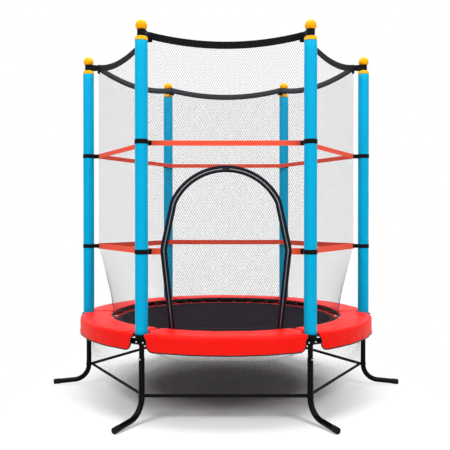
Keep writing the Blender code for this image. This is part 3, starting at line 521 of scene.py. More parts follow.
def makeFeet():
    centre, along = legBend()
    bendEnd = centre - Vector((-along.z, 0, along.x)) * legShape["bend"]
    tip = bendEnd + along * legShape["reach"]
    selectOnly()
    bpy.ops.mesh.primitive_cylinder_add(
        vertices=40, radius=footShape["radius"], depth=footShape["length"],
        location=tip - along * footShape["length"] / 2, rotation=along.to_track_quat("Z", "Y").to_euler(),
    )
    foot = settle("foot")
    pickFaces(foot, lambda centre, normal: normal.dot(along) > 0.9)
    bpy.ops.mesh.bevel(offset=footShape["rounding"], segments=5, affect="EDGES")
    closeEdit()
    # flat sole on the floor
    openEdit(foot)
    bpy.ops.mesh.bisect(
        plane_co=(0, 0, footShape["sole"]), plane_no=(0, 0, -1), use_fill=True, clear_outer=True
    )
    closeEdit()
    smooth(foot, 40)
    dressSix(foot, "footCap", "blackPlastic", "foot_cap")


boltShape = {
    "washer": 0.0037, "washerDepth": 0.0012, "washerOut": 0.0004,
    "head": 0.0027, "headOut": 0.001, "height": 0.0024, "rim": 0.0006, "rise": 0.0004, "edge": 0.0002,
    "spread": 0.0165, "legLevel": 0.2515, "ringLevel": 0.3205,
}


# A hexagon-headed bolt on a washer, facing away from the middle
def makeBolt(place):
    selectOnly()
    facing = Vector((1, 0, 0))
    turn = facing.to_track_quat("Z", "Y").to_euler()
    bpy.ops.mesh.primitive_cylinder_add(
        vertices=24, radius=boltShape["washer"], depth=boltShape["washerDepth"],
        location=place + facing * boltShape["washerOut"], rotation=turn,
    )
    washer = settle("washer")
    bpy.ops.mesh.primitive_cylinder_add(
        vertices=6, radius=boltShape["head"], depth=boltShape["height"],
        location=place + facing * (boltShape["headOut"] + boltShape["height"] / 2), rotation=turn,
    )
    head = settle("head")
    pickFaces(head, lambda centre, normal: normal.dot(facing) > 0.9)
    bpy.ops.mesh.inset(thickness=boltShape["rim"])
    bpy.ops.transform.translate(value=facing * boltShape["rise"])
    closeEdit()
    whole = joined(washer, head)
    withModifier(whole, "BEVEL", width=boltShape["edge"], segments=2)
    return whole


def makeBolts():
    circle = sizes["poleCircle"]
    places = [around(circle + legShape["radius"], 0, boltShape["legLevel"])]
    for across in (-boltShape["spread"], boltShape["spread"]):
        places.append(Vector((circle + ringShape["radius"], across, boltShape["ringLevel"])))
    bolts = joined(*[makeBolt(place) for place in places])
    smooth(bolts, 30)
    dressSix(bolts, "bolts", "zinc")


# A turned piece on the pole at angle 0: a circle extruded and scaled from ring to ring
def stackRings(name, rings):
    selectOnly()
    radius, height = rings[0]
    bpy.ops.mesh.primitive_circle_add(
        vertices=48, radius=radius, location=(0, 0, height), fill_type="NGON"
    )
    piece = settle(name)
    openEdit(piece, "FACE")
    for following, level in rings[1:]:
        bpy.ops.mesh.extrude_region_move(TRANSFORM_OT_translate={"value": (0, 0, level - height)})
        scale = following / radius
        bpy.ops.transform.resize(value=(scale, scale, 1.0), center_override=(0, 0, level))
        radius, height = following, level
    closeEdit()
    openEdit(piece)
    bpy.ops.mesh.normals_make_consistent(inside=False)
    closeEdit()
    piece.location = (sizes["poleCircle"], 0, 0)
    return placeIntoMesh(piece)


poleShape = {"radius": 0.0119, "low": 0.3328, "high": 1.5578, "wall": 0.001}


def makePoles():
    pole = tubeByHand(
        "poleTube", poleShape["radius"], poleShape["wall"],
        around(sizes["poleCircle"], 0, poleShape["low"]), up,
        [("run", (0, 0, poleShape["high"] - poleShape["low"]))],
    )
    smooth(pole, 40)
    dressSix(pole, "poleTube", "steel", "pole")


foamShape = {
    "radius": 0.0258, "low": 0.3508, "high": 1.5198, "bore": 0.0123, "spacing": 0.03, "ripple": 0.00022,
    "pinch": 0.0004, "pinchHalf": 0.009, "pinchEnd": 0.017, "tieRoom": 0.022,
    "footRoom": 0.02, "topRoom": 0.01, "skin": 0.020, "swells": (30, 30, 6), "shift": 7,
    "rounding": [(0.0022, 0.0), (0.0007, 0.0006), (0.0, 0.0024)],  # in from the side, in from the end
}


def makeFoam():
    radius, low, high = foamShape["radius"], foamShape["low"], foamShape["high"]
    ties = (sizes["lowerStrap"], sizes["upperStrap"])
    body = []
    level = low + foamShape["footRoom"]
    while level < high - foamShape["topRoom"]:
        if min(abs(level - tie) for tie in ties) > foamShape["tieRoom"]:
            body.append((radius, level))
        level += foamShape["spacing"]
    # the straps' ties draw the foam in a little
    for tie in ties:
        for side in (-1, 1):
            body.append((radius, tie + side * foamShape["pinchEnd"]))
            body.append((radius - foamShape["pinch"], tie + side * foamShape["pinchHalf"]))
    body.sort(key=lambda ring: ring[1])
    start = [(foamShape["bore"], low)] + [(radius - side, low + end) for side, end in foamShape["rounding"]]
    finish = [(radius - side, high - end) for side, end in foamShape["rounding"][::-1]]
    foam = stackRings("foam", start + body + finish + [(foamShape["bore"], high)])
    smooth(foam, 50)
    swells = Vector(foamShape["swells"])
    for number, copied in enumerate(repeated(foam, poleTurns, numbered("foamSleeve")), 1):
        # each sleeve is a little uneven in its own way
        middle = around(sizes["poleCircle"], poleTurns[number - 1])
        for point in copied.data.vertices:
            out = Vector((point.co.x - middle.x, point.co.y - middle.y, 0))
            if out.length > foamShape["skin"]:
                swell = noise(point.co * swells + up * number * foamShape["shift"])
                point.co += out.normalized() * min(foamShape["ripple"], swell * foamShape["ripple"] * 2)
        dress(copied, "foam", nodes=[f"foam_sleeve_{number}"])


capShape = {
    "collar": [
        (0.0240, 1.5202), (0.0258, 1.5204), (0.0262, 1.5212), (0.0262, 1.5222), (0.0258, 1.5228),
        (0.0259, 1.5285), (0.0255, 1.5315), (0.0243, 1.5342), (0.0220, 1.5359), (0.0185, 1.5368),
    ],
    "neck": [(0.0160, 1.5375), (0.0151, 1.5400), (0.0149, 1.5500), (0.0151, 1.5640), (0.0160, 1.5660)],
    "ball": 0.0240,
    "ballCentre": 1.5811,
    "partingLine": 0.00022,
}


def makeCaps():
    ball, centre = capShape["ball"], capShape["ballCentre"]
    rings = capShape["collar"] + capShape["neck"]
    for tilt in steps(radians(-36), radians(86), 18):
        rings.append((ball * cos(tilt), centre + ball * sin(tilt)))
    cap = stackRings("cap", rings)
    # parting line of the two mould halves round the ball
    bpy.ops.mesh.primitive_torus_add(
        major_segments=48, minor_segments=6, major_radius=ball, minor_radius=capShape["partingLine"],
        location=(sizes["poleCircle"], 0, centre),
    )
    cap = joined(cap, settle("line"))
    smooth(cap, 50)
    dressSix(cap, "poleCap", "yellowPlastic", "pole_cap")


makeRing()
makeLegs()
makeFeet()
makeBolts()
makePoles()
makeFoam()
makeCaps()
print("ring, legs, poles, foam and caps ready")


# Faces that join rings of points one after another, with the ends capped unless closed
def ringFaces(count, size, closed=False):
    faces = []
    for i in range(count if closed else count - 1):
        j = (i + 1) % count
        for k in range(size):
            m = (k + 1) % size
            faces.append((i * size + k, i * size + m, j * size + m, j * size + k))
    if not closed:
        faces.append(tuple(range(size))[::-1])
        faces.append(tuple(range((count - 1) * size, count * size)))
    return faces


# Faces of a bead: its first two points are the tips, the next four stand round its waist
def beadFaces(first):
    faces = []
    for k in range(4):
        a, b = first + 2 + k, first + 2 + (k + 1) % 4
        faces += [(first, b, a), (first + 1, a, b)]
    return faces


# The way a path goes at one of its points
def aheadAt(path, i):
    return (path[min(i + 1, len(path) - 1)] - path[max(i - 1, 0)]).normalized()


# A strip with softened edges along a path. The width direction is the same all along,
# or one vector for each point
def ribbon(name, path, width, thickness, across=up, closed=False):
    edge = min(thickness * 0.45, 0.0006)
    half, rise = thickness / 2, width / 2
    section = [
        (-half, -rise + edge), (-half, 0.0), (-half, rise - edge), (0.0, rise),
        (half, rise - edge), (half, 0.0), (half, -rise + edge), (0.0, -rise),
    ]
    count = len(path)
    widths = across if isinstance(across, list) else [across] * count
    points, along, reach = [], [], 0.0
    for i, point in enumerate(path):
        runs = []
        if closed or i > 0:
            runs.append((point - path[i - 1]).normalized())
        if closed or i < count - 1:
            runs.append((path[(i + 1) % count] - point).normalized())
        ahead = sum(runs, Vector()).normalized()
        side = ahead.cross(widths[i]).normalized()
        side /= max(0.3, side.dot(runs[0].cross(widths[i]).normalized()))
        if i > 0:
            reach += (point - path[i - 1]).length
        for a, b in section:
            points.append(point + side * a + widths[i] * b)
            along.append((reach, b))
    piece = drawn(name, points, ringFaces(count, len(section), closed), along)
    outwards(piece)
    smooth(piece, 50)
    return piece


# A round cord along a path, as a bevelled curve made into a mesh
def cordAlong(name, path, radius):
    curve = bpy.data.curves.new(name, "CURVE")
    curve.dimensions = "3D"
    curve.bevel_depth = radius
    curve.bevel_resolution = 3
    curve.use_fill_caps = True
    spline = curve.splines.new("POLY")
    spline.points.add(len(path) - 1)
    for point, place in zip(spline.points, path):
        point.co = (*place, 1.0)
    piece = bpy.data.objects.new(name, curve)
    bpy.context.collection.objects.link(piece)
    selectOnly(piece)
    bpy.ops.object.convert(target="MESH")
    piece = bpy.context.object
    smooth(piece, 60)
    return piece


# Running stitches along a path: short raised beads of thread, in one mesh. Normal is the
# way the cloth faces, or gives it for a point
def stitches(name, path, pitch, thread, normal=up):
    points, faces = [], []
    reach, goal = 0.0, pitch / 2
    for start, stop in zip(path, path[1:]):
        length = (stop - start).length
        ahead = (stop - start).normalized()
        lift = normal(start) if callable(normal) else normal
        side = ahead.cross(lift).normalized()
        while goal < reach + length:
            middle = start + ahead * (goal - reach)
            half = pitch * 0.33
            faces += beadFaces(len(points))
            points += [middle - ahead * half, middle + ahead * half]
            for turn in (0.0, pi / 2, pi, 3 * pi / 2):
                points.append(middle + side * cos(turn) * thread + lift * sin(turn) * thread)
            goal += pitch
        reach += length
    piece = drawn(name, points, faces)
    outwards(piece)
    smooth(piece, 80)
    return piece


# Rings of faces about the middle, with the way round and the radius as their UV
def ringSheet(name, radii, level, turns=sizes["turns"]):
    points, faces, along = [], [], []
    for radius in radii:
        for k in range(turns):
            points.append(around(radius, tau * k / turns, level(radius)))
            along.append((radii[-1] * tau * k / turns, radius))
    for i in range(len(radii) - 1):
        for k in range(turns):
            m = (k + 1) % turns
            faces.append((i * turns + k, (i + 1) * turns + k, (i + 1) * turns + m, i * turns + m))
    if radii[0] < 0.02:
        faces.append(tuple(range(turns))[::-1])
    return drawn(name, points, faces, along)


matShape = {
    "radius": 0.525, "level": 0.3320, "thickness": 0.0018, "sag": 0.0018,
    "binding": 0.020, "bindingThickness": 0.0008, "bindingLift": 0.0013, "bindingEdge": 0.001,
    "threadLift": 0.0018, "pitch": 0.008, "rowFromInner": 0.003, "rowFromOuter": 0.004,
}


def makeMat():
    def level(radius):
        return matShape["level"] - matShape["sag"] * (1 - (radius / matShape["radius"]) ** 2)

    outer = matShape["radius"]
    inner = outer - matShape["binding"]
    mat = ringSheet("jumpingMat", [0.015] + steps(0.05, outer, 19), level)
    thicken(mat, matShape["thickness"])
    dress(mat, "matCloth", "mat_body", ["mat"])

    # black webbing folded over the mat's edge, with two rows of stitches
    edge = matShape["bindingEdge"]
    binding = ringSheet(
        "matBinding", [inner, inner + edge, outer - edge, outer],
        lambda radius: level(radius) + matShape["bindingLift"],
    )
    thicken(binding, matShape["bindingThickness"])
    dress(binding, "blackWebbing", "mat_body")
    rows = (inner + matShape["rowFromInner"], outer - matShape["rowFromOuter"])
    for number, radius in enumerate(rows, 1):
        lifted = level(radius) + matShape["threadLift"]
        path = [around(radius, tau * k / sizes["turns"], lifted) for k in range(sizes["turns"] + 1)]
        row = stitches(f"matStitches_{number}", path, matShape["pitch"], sizes["thread"])
        dress(row, "redThread", "mat_body")


bandShape = {
    "count": 42, "width": 0.014, "thickness": 0.0014, "level": 0.3338, "wrap": 0.0134,
    "hemInner": 0.5256, "hemOuter": 0.5403, "hemLevel": 0.3322, "hemThickness": 0.0018, "hemEdge": 0.0008,
    "sewnIn": 0.004, "sewnLevel": 0.3336, "flatFrom": 0.5520, "flatTo": 0.6420, "hook": (0.6500, 0.6590),
    "tail": [(0.6480, 0.3245), (0.6330, 0.3318)], "still": 0.640, "moving": 0.545,
}


def makeBands():
    inner, outer, edge = bandShape["hemInner"], bandShape["hemOuter"], bandShape["hemEdge"]
    radii = [inner, inner + edge, outer - edge, outer]
    hem = ringSheet("redHem", radii, lambda radius: bandShape["hemLevel"])
    thicken(hem, bandShape["hemThickness"])
    dress(hem, "redElastic", "mat_body")

    circle, middle = sizes["poleCircle"], sizes["ringLevel"]
    level, wrap = bandShape["level"], bandShape["wrap"]
    for number in range(bandShape["count"]):
        angle = front + (number + 0.5) * tau / bandShape["count"]
        path = []
        for radius in (inner + bandShape["sewnIn"], outer):
            path.append(Vector((radius, 0, bandShape["sewnLevel"])))
        for radius in steps(bandShape["flatFrom"], bandShape["flatTo"], 5):
            path.append(Vector((radius, 0, level)))
        if number % 7 == 3:
            # beside a leg the band ends in a hook over the ring's inner side
            path += [Vector((radius, 0, level)) for radius in bandShape["hook"]]
        else:
            # elsewhere it loops round the ring and comes back to its own underside
            for turn in steps(radians(90), radians(-160), 16):
                path.append(Vector((circle + wrap * cos(turn), 0, middle + wrap * sin(turn))))
            path += [Vector((radius, 0, low)) for radius, low in bandShape["tail"]]
        band = ribbon(
            f"elasticBand_{number + 1}", path, bandShape["width"], bandShape["thickness"], Vector((0, 1, 0))
        )
        band.data.transform(Matrix.Rotation(angle, 4, "Z"))
        dress(band, "redElastic", None, ["elastic_bands"] if number == 0 else [])
        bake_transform(band)


padShape = {
    "inner": 0.5466, "outer": 0.6950, "corner": 0.020, "notch": 0.0285, "seam": 0.0016,
    "edgeLow": 0.3495, "seat": 0.3358, "top": 0.3612, "crown": 0.0022, "fall": 0.0035, "inset": 0.0026,
    "voxel": 0.0048, "swell": 0.0030, "pressure": 4.0, "hollow": 0.0009, "pull": 0.0003,
    "binding": 0.0022, "bindingLevel": 0.3528, "bindingShort": 0.045, "bindingIn": 0.0002,
}


# Inner edge of the pad's plan at an angle from its middle, rounded at the seams
def padInner(turn, shape, draw):
    half = panelHalf - shape["seam"] / shape["inner"]
    inward = max(0.0, shape["corner"] - (half - abs(turn)) * shape["inner"])
    return shape["inner"] + draw + shape["corner"] - sqrt(max(0.0, shape["corner"] ** 2 - inward ** 2))


def padTopLevel(share, shape):
    crowned = shape["top"] + shape["crown"] * sin(pi * min(1.0, share * 1.15))
    return crowned - shape["fall"] * max(0.0, share - 0.75) * 4


def padUnderLevel(share, shape):
    return shape["edgeLow"] + (shape["seat"] - shape["edgeLow"]) * min(1.0, share / 0.72)


# How far out a radius lies on the pad, from 0 at its inner edge to 1
def padShare(radius, shape):
    return max(0.0, min(1.0, (radius - shape["inner"]) / (shape["outer"] - shape["inner"])))


# The cushion's plan as a closed loop, drawn in on all sides
def padPlan(shape, draw):
    half = panelHalf - (shape["seam"] + draw) / shape["inner"]
    loop = []
    for turn in steps(-half, half, 40):
        loop.append(around(padInner(turn * 0.999, shape, draw), front + turn))
    for side in (1, -1):
        # round notch about the pole
        pole = around(sizes["poleCircle"], front + side * panelHalf)
        arc = []
        for turn in steps(radians(180), radians(180) + side * radians(165), 14):
            point = pole + around(shape["notch"] + draw, front + side * panelHalf + turn)
            angle = math.atan2(point.y, point.x) - front
            if point.xy.length < shape["outer"] - draw and abs(angle) < half:
                arc.append(Vector((point.x, point.y, 0)))
        loop += arc if side > 0 else arc[::-1]
        if side > 0:
            edge = abs(math.atan2(arc[-1].y, arc[-1].x) - front)
            for turn in steps(edge, -edge, 36):
                loop.append(around(shape["outer"] - draw, front + turn))
    return loop


def makeCushion(shape):
    loop = padPlan(shape, shape["inset"])
    bm = bmesh.new()
    rims = []
    for top in (False, True):
        verts = []
        for point in loop:
            share = padShare(point.xy.length, shape)
            if top:
                level = padTopLevel(share, shape) - shape["inset"]
            else:
                level = padUnderLevel(share, shape) + shape["inset"] * 0.6
            verts.append(bm.verts.new((point.x, point.y, level)))
        rims.append(verts)
    count = len(loop)
    for k in range(count):
        m = (k + 1) % count
        bm.faces.new((rims[0][k], rims[0][m], rims[1][m], rims[1][k]))
    for verts in rims:
        bmesh.ops.triangulate(bm, faces=[bm.faces.new(verts)], quad_method="BEAUTY", ngon_method="BEAUTY")
    bmesh.ops.recalc_face_normals(bm, faces=bm.faces)
    cushion = drawn("padCushion", [], [])
    bm.to_mesh(cushion.data)
    bm.free()
    withModifier(cushion, "REMESH", mode="VOXEL", voxel_size=shape["voxel"], use_smooth_shade=True)
    return cushion


# Blows the cushion up a little, as its foam does, and caps how far any point goes
def swellCushion(cushion, shape):
    before = [point.co.copy() for point in cushion.data.vertices]
    selectOnly(cushion)
    cloth = cushion.modifiers.new("cloth", "CLOTH")
    cloth.settings.use_pressure = True
    cloth.settings.uniform_pressure_force = shape["pressure"]
    cloth.settings.effector_weights.gravity = 0.0
    cloth.settings.quality = 6
    cloth.settings.mass = 0.2
    cloth.point_cache.frame_start = 1
    cloth.point_cache.frame_end = 20
    for number in range(1, 21):
        bpy.context.scene.frame_set(number)
    shaped = cushion.evaluated_get(bpy.context.evaluated_depsgraph_get())
    after = [point.co.copy() for point in shaped.data.vertices]
    cushion.modifiers.clear()
    bpy.context.scene.frame_set(1)
    for point, old, new in zip(cushion.data.vertices, before, after):
        shift = new - old
        if shift.length > shape["swell"]:
            shift *= shape["swell"] / shift.length
        point.co = old + shift


# Keeps the cushion on its seat and off the net, and gives its cover soft hollows
def finishCushion(cushion, shape):
    for point in cushion.data.vertices:
        flat = point.co.xy.length
        under = padUnderLevel(padShare(flat, shape), shape)
        point.co.z = max(point.co.z, under)
        if flat < shape["inner"]:
            point.co.xy = point.co.xy * (shape["inner"] / flat)
        hollow = noise(Vector((point.co.x * 14, point.co.y * 14, 3.7)))
        pull = noise(Vector((point.co.x * 45, point.co.y * 45, 9.1)))
        if point.co.z > under + 0.006:
            point.co.z += shape["hollow"] * hollow + shape["pull"] * pull
    withModifier(cushion, "SMOOTH", factor=0.5, iterations=2)
    withModifier(cushion, "SUBSURF", levels=1, render_levels=1)
    smooth(cushion, 70)


skirtShape = {
    "radius": 0.6972, "top": 0.3560, "shoulder": 0.346, "turnIn": 0.0085, "hem": 0.2876, "thickness": 0.0011,
    "gap": 0.0385, "gapTop": 0.3270, "sideTop": 0.3430, "rounding": 0.028, "side": 0.0290, "wave": 0.0011,
    "rows": 12, "piping": 0.0026, "seamLevel": 0.3535, "seamHalf": 0.325, "seamOut": 0.0006, "pitch": 0.007,
}


# Where the skirt's lower edge is, at a distance along the skirt from the pole's middle
def skirtEdge(distance, shape):
    far = shape["gap"] + shape["rounding"]
    if distance >= far:
        return shape["hem"]
    if distance >= shape["gap"]:
        bend = sqrt(max(0.0, 1 - ((far - distance) / shape["rounding"]) ** 2))
        return shape["hem"] + shape["rounding"] * (1 - bend)
    share = (shape["gap"] - distance) / (shape["gap"] - shape["side"])
    return shape["gapTop"] + (shape["sideTop"] - shape["gapTop"]) * max(0.0, min(1.0, share)) ** 0.6


# A point of the skirt. Distance runs along it from the pad's middle, signed
def skirtPoint(distance, level, shape, outset=0.0):
    shoulder = shape["shoulder"]
    depth = max(0.0, (shoulder - level) / (shoulder - shape["hem"]))
    ripple = sin(distance * 43.0 + 0.6) + 0.6 * sin(distance * 91.0 + 1.9) + 0.4 * sin(distance * 17.0)
    radius = shape["radius"] + shape["wave"] * ripple * depth ** 1.3 + outset
    if level > shoulder:
        # the cover turns in over the cushion's shoulder
        radius -= shape["turnIn"] * ((level - shoulder) / (shape["top"] - shoulder)) ** 2.2
    return around(radius, front + distance / shape["radius"], level)


def makeSkirt(shape):
    half = shape["radius"] * panelHalf
    gap, rounding, rows = shape["gap"], shape["rounding"], shape["rows"]
    far = half - (gap + rounding)
    # columns stand closer about the gap at each pole
    near = [shape["side"], 0.0315, 0.0345, 0.0375, gap - 0.0002, gap + 0.0001]
    near += [gap + rounding * (1 - cos(turn)) for turn in steps(0.12, pi / 2, 12)]
    body = steps(-far, far, 84)
    ends = [side * (half - distance) for side in (-1, 1) for distance in near]
    columns = sorted(set(round(distance, 6) for distance in ends + body))
    points, faces, along, edge = [], [], [], []
    for distance in columns:
        bottom = skirtEdge(half - abs(distance), shape)
        edge.append(skirtPoint(distance, bottom, shape))
        for i in range(rows + 1):
            level = bottom + (shape["top"] - bottom) * i / rows
            points.append(skirtPoint(distance, level, shape))
            along.append((distance, level))
    for k in range(len(columns) - 1):
        for i in range(rows):
            a, b = k * (rows + 1) + i, (k + 1) * (rows + 1) + i
            faces.append((a, b, b + 1, a + 1))
    skirt = drawn("padSkirt", points, faces, along)
    thicken(skirt, shape["thickness"], 60)
    return skirt, cordAlong("skirtPiping", edge, shape["piping"])


def makePads():
    cushion = makeCushion(padShape)
    swellCushion(cushion, padShape)
    finishCushion(cushion, padShape)
    print("cushion ready:", len(cushion.data.polygons), "faces")
    skirt, piping = makeSkirt(skirtShape)
    # row of stitches where the cover's top is sewn to the skirt
    level, reach, out = skirtShape["seamLevel"], skirtShape["seamHalf"], skirtShape["seamOut"]
    seam = [skirtPoint(distance, level, skirtShape, out) for distance in steps(-reach, reach, 120)]
    row = stitches(
        "padStitches", seam, skirtShape["pitch"], sizes["thread"],
        lambda point: Vector((point.x, point.y, 0)).normalized(),
    )
    # black binding along the inner edge, next to the mat
    half = panelHalf - padShape["bindingShort"]
    inner = []
    for turn in steps(-half, half, 60):
        radius = padInner(turn, padShape, padShape["bindingIn"])
        inner.append(around(radius, front + turn, padShape["bindingLevel"]))
    binding = cordAlong("padBinding", inner, padShape["binding"])
    cushions = dressSix(cushion, "padCushion", "vinyl", "edge_pad", panelTurns)
    skirts = dressSix(skirt, "padSkirt", "vinyl", turns=panelTurns)
    pipings = dressSix(piping, "skirtPiping", "piping", turns=panelTurns)
    dressSix(row, "padStitches", "redThread", turns=panelTurns)
    dressSix(binding, "padBinding", "piping", turns=panelTurns)
    for k in range(6):
        lined(cushions[k], "backing", lambda normal, centre: normal.z < -0.3)
        lined(skirts[k], "backing", lambda normal, centre: normal.xy.dot(centre.xy) < -0.3)


tieShape = {
    "wrapped": 0.0255, "width": 0.0160, "thickness": 0.0012, "level": 0.3420,
    "hole": 0.0126, "disc": 0.0360, "discDrop": 0.001, "discThickness": 0.0008,
}


# The pads' black tie, wound round each pole just under its foam, with a cloth disc on top
def makePadTies():
    pole = around(sizes["poleCircle"], 0)
    level = tieShape["level"]
    path = [pole + around(tieShape["wrapped"], tau * k / 40, level) for k in range(40)]
    tie = ribbon("padTie", path, tieShape["width"], tieShape["thickness"], closed=True)
    top = level + tieShape["width"] / 2 - tieShape["discDrop"]
    disc = ringSheet("disc", [tieShape["hole"], tieShape["disc"]], lambda radius: top, 40)
    thicken(disc, tieShape["discThickness"])
    disc.data.transform(Matrix.Translation(pole))
    tie = joined(tie, disc)
    smooth(tie, 40)
    dressSix(tie, "padTie", "blackWebbing")


makeMat()
makeBands()
makePadTies()
makePads()
print("mat, bands and padded edge ready")


netShape = {
    "cellWide": 0.0098, "cellTall": 0.0162, "strand": 0.00017, "ridge": 0.00010,
    "knot": (0.0012, 0.0005, 0.0018),
    "side": 0.3118, "topLift": 0.012, "footLift": 0.0042, "seatLevel": 0.360, "doorGap": 0.006,
    "hem": 0.0007, "topHem": 0.024, "footHem": 0.0066, "doorHem": 0.0130, "doorHemOut": 0.0083,
    "bentStride": 0.045, "flatStride": 2.0, "overrun": 0.01, "knotMargin": 0.0012, "leastYarn": 0.302,
}


# A point of the front panel of the net: flat down to the lower strap, from there in
# to the round pads' inner edge, and upright beside them
def netPoint(across, level):
    flat = Vector((across, -sizes["netPlane"], level))
    if level >= sizes["lowerStrap"]:
        return flat
    turn = front + across / sizes["netHalfWidth"] * panelHalf
    low = around(sizes["netFootRadius"], turn, level)
    share = (sizes["lowerStrap"] - level) / (sizes["lowerStrap"] - netShape["seatLevel"])
    return flat.lerp(low, min(share, 1.0))


def borderLevel(across):
    return sizes["borderLevel"] - sizes["borderSag"] * (1 - (across / sizes["netHalfWidth"]) ** 2)


# The stretches of a straight line that lie inside closed loops, by the even-odd rule
def insideRuns(start, stop, loops):
    ahead = (stop[0] - start[0], stop[1] - start[1])
    cuts = []
    for loop in loops:
        for (ax, ay), (bx, by) in zip(loop, loop[1:] + loop[:1]):
            ex, ey = bx - ax, by - ay
            cross = ahead[0] * ey - ahead[1] * ex
            if abs(cross) < 1e-14:
                continue
            t = ((ax - start[0]) * ey - (ay - start[1]) * ex) / cross
            s = ((ax - start[0]) * ahead[1] - (ay - start[1]) * ahead[0]) / cross
            if 0 <= s < 1 and 0 <= t <= 1:
                cuts.append(t)
    cuts.sort()
    return [(a, b) for a, b in zip(cuts[::2], cuts[1::2]) if b - a > 1e-5]


def loopBox(loops):
    xs = [x for loop in loops for x, _ in loop]
    ys = [y for loop in loops for _, y in loop]
    return min(xs), max(xs), min(ys), max(ys)


# Both families of slanting strands that fill the loops, as lists of points in space.
# A strand is broken at the levels in breaks, and at least once a stride
def strandPaths(loops, place, breaks, stride, shape):
    low, high, bottom, top = loopBox(loops)
    tall = top - bottom
    slant = tall * (shape["cellWide"] / shape["cellTall"])
    paths = []
    for lean in (1, -1):
        offset = math.floor((low - slant) / shape["cellWide"]) * shape["cellWide"]
        while offset < high + slant:
            for a, b in insideRuns((offset, bottom), (offset + lean * slant, top), loops):
                shares = [(level - bottom) / tall for level in breaks]
                ordered = sorted({a, b}.union(share for share in shares if a < share < b))
                fine = [ordered[0]]
                for one, two in zip(ordered, ordered[1:]):
                    middle = bottom + (one + two) / 2 * tall
                    parts = max(1, math.ceil((two - one) * tall / stride(middle)))
                    fine += [one + (two - one) * k / parts for k in range(1, parts + 1)]
                paths.append([place(offset + lean * slant * share, bottom + tall * share) for share in fine])
            offset += shape["cellWide"]
    return paths


# Where strands cross inside the loops, row by row
def knotPlaces(loops, place, shape):
    low, high, bottom, top = loopBox(loops)
    halfWide, halfTall = shape["cellWide"] / 2, shape["cellTall"] / 2
    low, high, margin = low - shape["overrun"], high + shape["overrun"], shape["knotMargin"]
    length = high - low
    knots = []
    for row in range(1, int((top - bottom) / halfTall)):
        level = bottom + row * halfTall + 1e-7
        for a, b in insideRuns((low, level), (high, level), loops):
            column = math.ceil((low + a * length + margin) / halfWide)
            column += (column + row) % 2
            while column * halfWide < low + b * length - margin:
                knots.append(place(column * halfWide, level))
                column += 2
    return knots


# Flat strands along the paths, each with a low ridge, and a knot wherever two of them cross
def strandPiece(name, paths, knots, shape):
    points, faces = [], []
    for path in paths:
        first = len(points)
        for i, point in enumerate(path):
            side = aheadAt(path, i).cross(forward).normalized() * shape["strand"]
            points += [point - side, point + forward * shape["ridge"], point + side]
        for i in range(len(path) - 1):
            for k in (0, 1):
                a = first + i * 3 + k
                faces.append((a, a + 1, a + 4, a + 3))
    across = forward.cross(up)
    for point in knots:
        wide, deep, tall = shape["knot"]
        faces += beadFaces(len(points))
        points += [point + forward * deep, point - forward * deep]
        points += [point + across * wide, point + up * tall, point - across * wide, point - up * tall]
    return drawn(name, points, faces)


# The door's arch: crown and shoulder arcs, a straight flank out to the lower strap, a hip
# arc, and an upright leg. Angles are from straight up
doorShape = {
    "lip": 0.0012, "ridgeStart": 0.0034, "ridgeEnd": 0.0074, "slope": 0.0022,
    "coilOut": 0.0006, "coilPinch": 0.72,
    "top": 1.014, "crown": 0.235, "shoulder": 0.100, "hip": 0.100, "crownAngle": radians(60),
    "flankAngle": radians(78), "half": 0.2523, "foot": 0.3612, "gap": 0.001, "tape": 0.013,
    "thickness": 0.0024, "stand": 0.0012, "coil": 0.0010, "tooth": 0.0026,
    "netGap": 0.006, "hem": 0.0110, "hemIn": 0.0078, "sillHem": 0.0066, "sillIn": 0.0075, "sillLift": 0.004,
}


# The arch moved out by an offset, as points of (across, level) from one foot to the other
def doorArch(offset, fine=3):
    shape = doorShape

    def arc(middle, radius, turn):
        return (middle[0] + (radius + offset) * sin(turn), middle[1] + (radius + offset) * cos(turn))

    turn, lean = shape["crownAngle"], shape["flankAngle"]
    crown = (0.0, shape["top"] - shape["crown"])
    inset = shape["crown"] - shape["shoulder"]
    shoulder = (inset * sin(turn), crown[1] + inset * cos(turn))
    startX = shoulder[0] + shape["shoulder"] * sin(lean)
    startZ = shoulder[1] + shape["shoulder"] * cos(lean)
    hipX = shape["half"] - shape["hip"]
    flank = (hipX + shape["hip"] * sin(lean) - startX) / cos(lean)
    hip = (hipX, startZ - flank * sin(lean) - shape["hip"] * cos(lean))
    right = [arc(crown, shape["crown"], angle) for angle in steps(0, turn, 8 * fine)]
    right += [arc(shoulder, shape["shoulder"], angle) for angle in steps(turn, lean, 2 * fine)[1:]]
    start, stop = right[-1], arc(hip, shape["hip"], lean)
    for share in steps(0, 1, 3 * fine)[1:]:
        right.append((start[0] + (stop[0] - start[0]) * share, start[1] + (stop[1] - start[1]) * share))
    right += [arc(hip, shape["hip"], angle) for angle in steps(lean, pi / 2, 2 * fine)[1:]]
    low = right[-1]
    right += [(low[0], level) for level in steps(low[1], shape["foot"], 5 * fine)[1:]]
    return [(-x, z) for x, z in reversed(right)] + right[1:]


# The arch as a loop to cut the net by, with its feet a little lower where it is moved out
def doorLoop(offset):
    (left, level), *middle, (right, _) = doorArch(offset, 2)
    level -= max(0.0, offset) * 0.3
    return [(left, level)] + middle + [(right, level)]


def panelLoop():
    side = netShape["side"]
    loop = [(-side, sizes["netFoot"]), (side, sizes["netFoot"])]
    return loop + [(x, borderLevel(x) + netShape["topLift"]) for x in steps(side, -side, 24)]


# Longest piece of a strand: short where the net curves, and whole where it is flat
def netStride(level):
    return netShape["bentStride" if level < sizes["lowerStrap"] else "flatStride"]


# Knotted net over the front panel's surface, inside the loops
def netOver(name, loops, breaks):
    paths = strandPaths(loops, netPoint, breaks, netStride, netShape)
    return strandPiece(name, paths, knotPlaces(loops, netPoint, netShape), netShape)


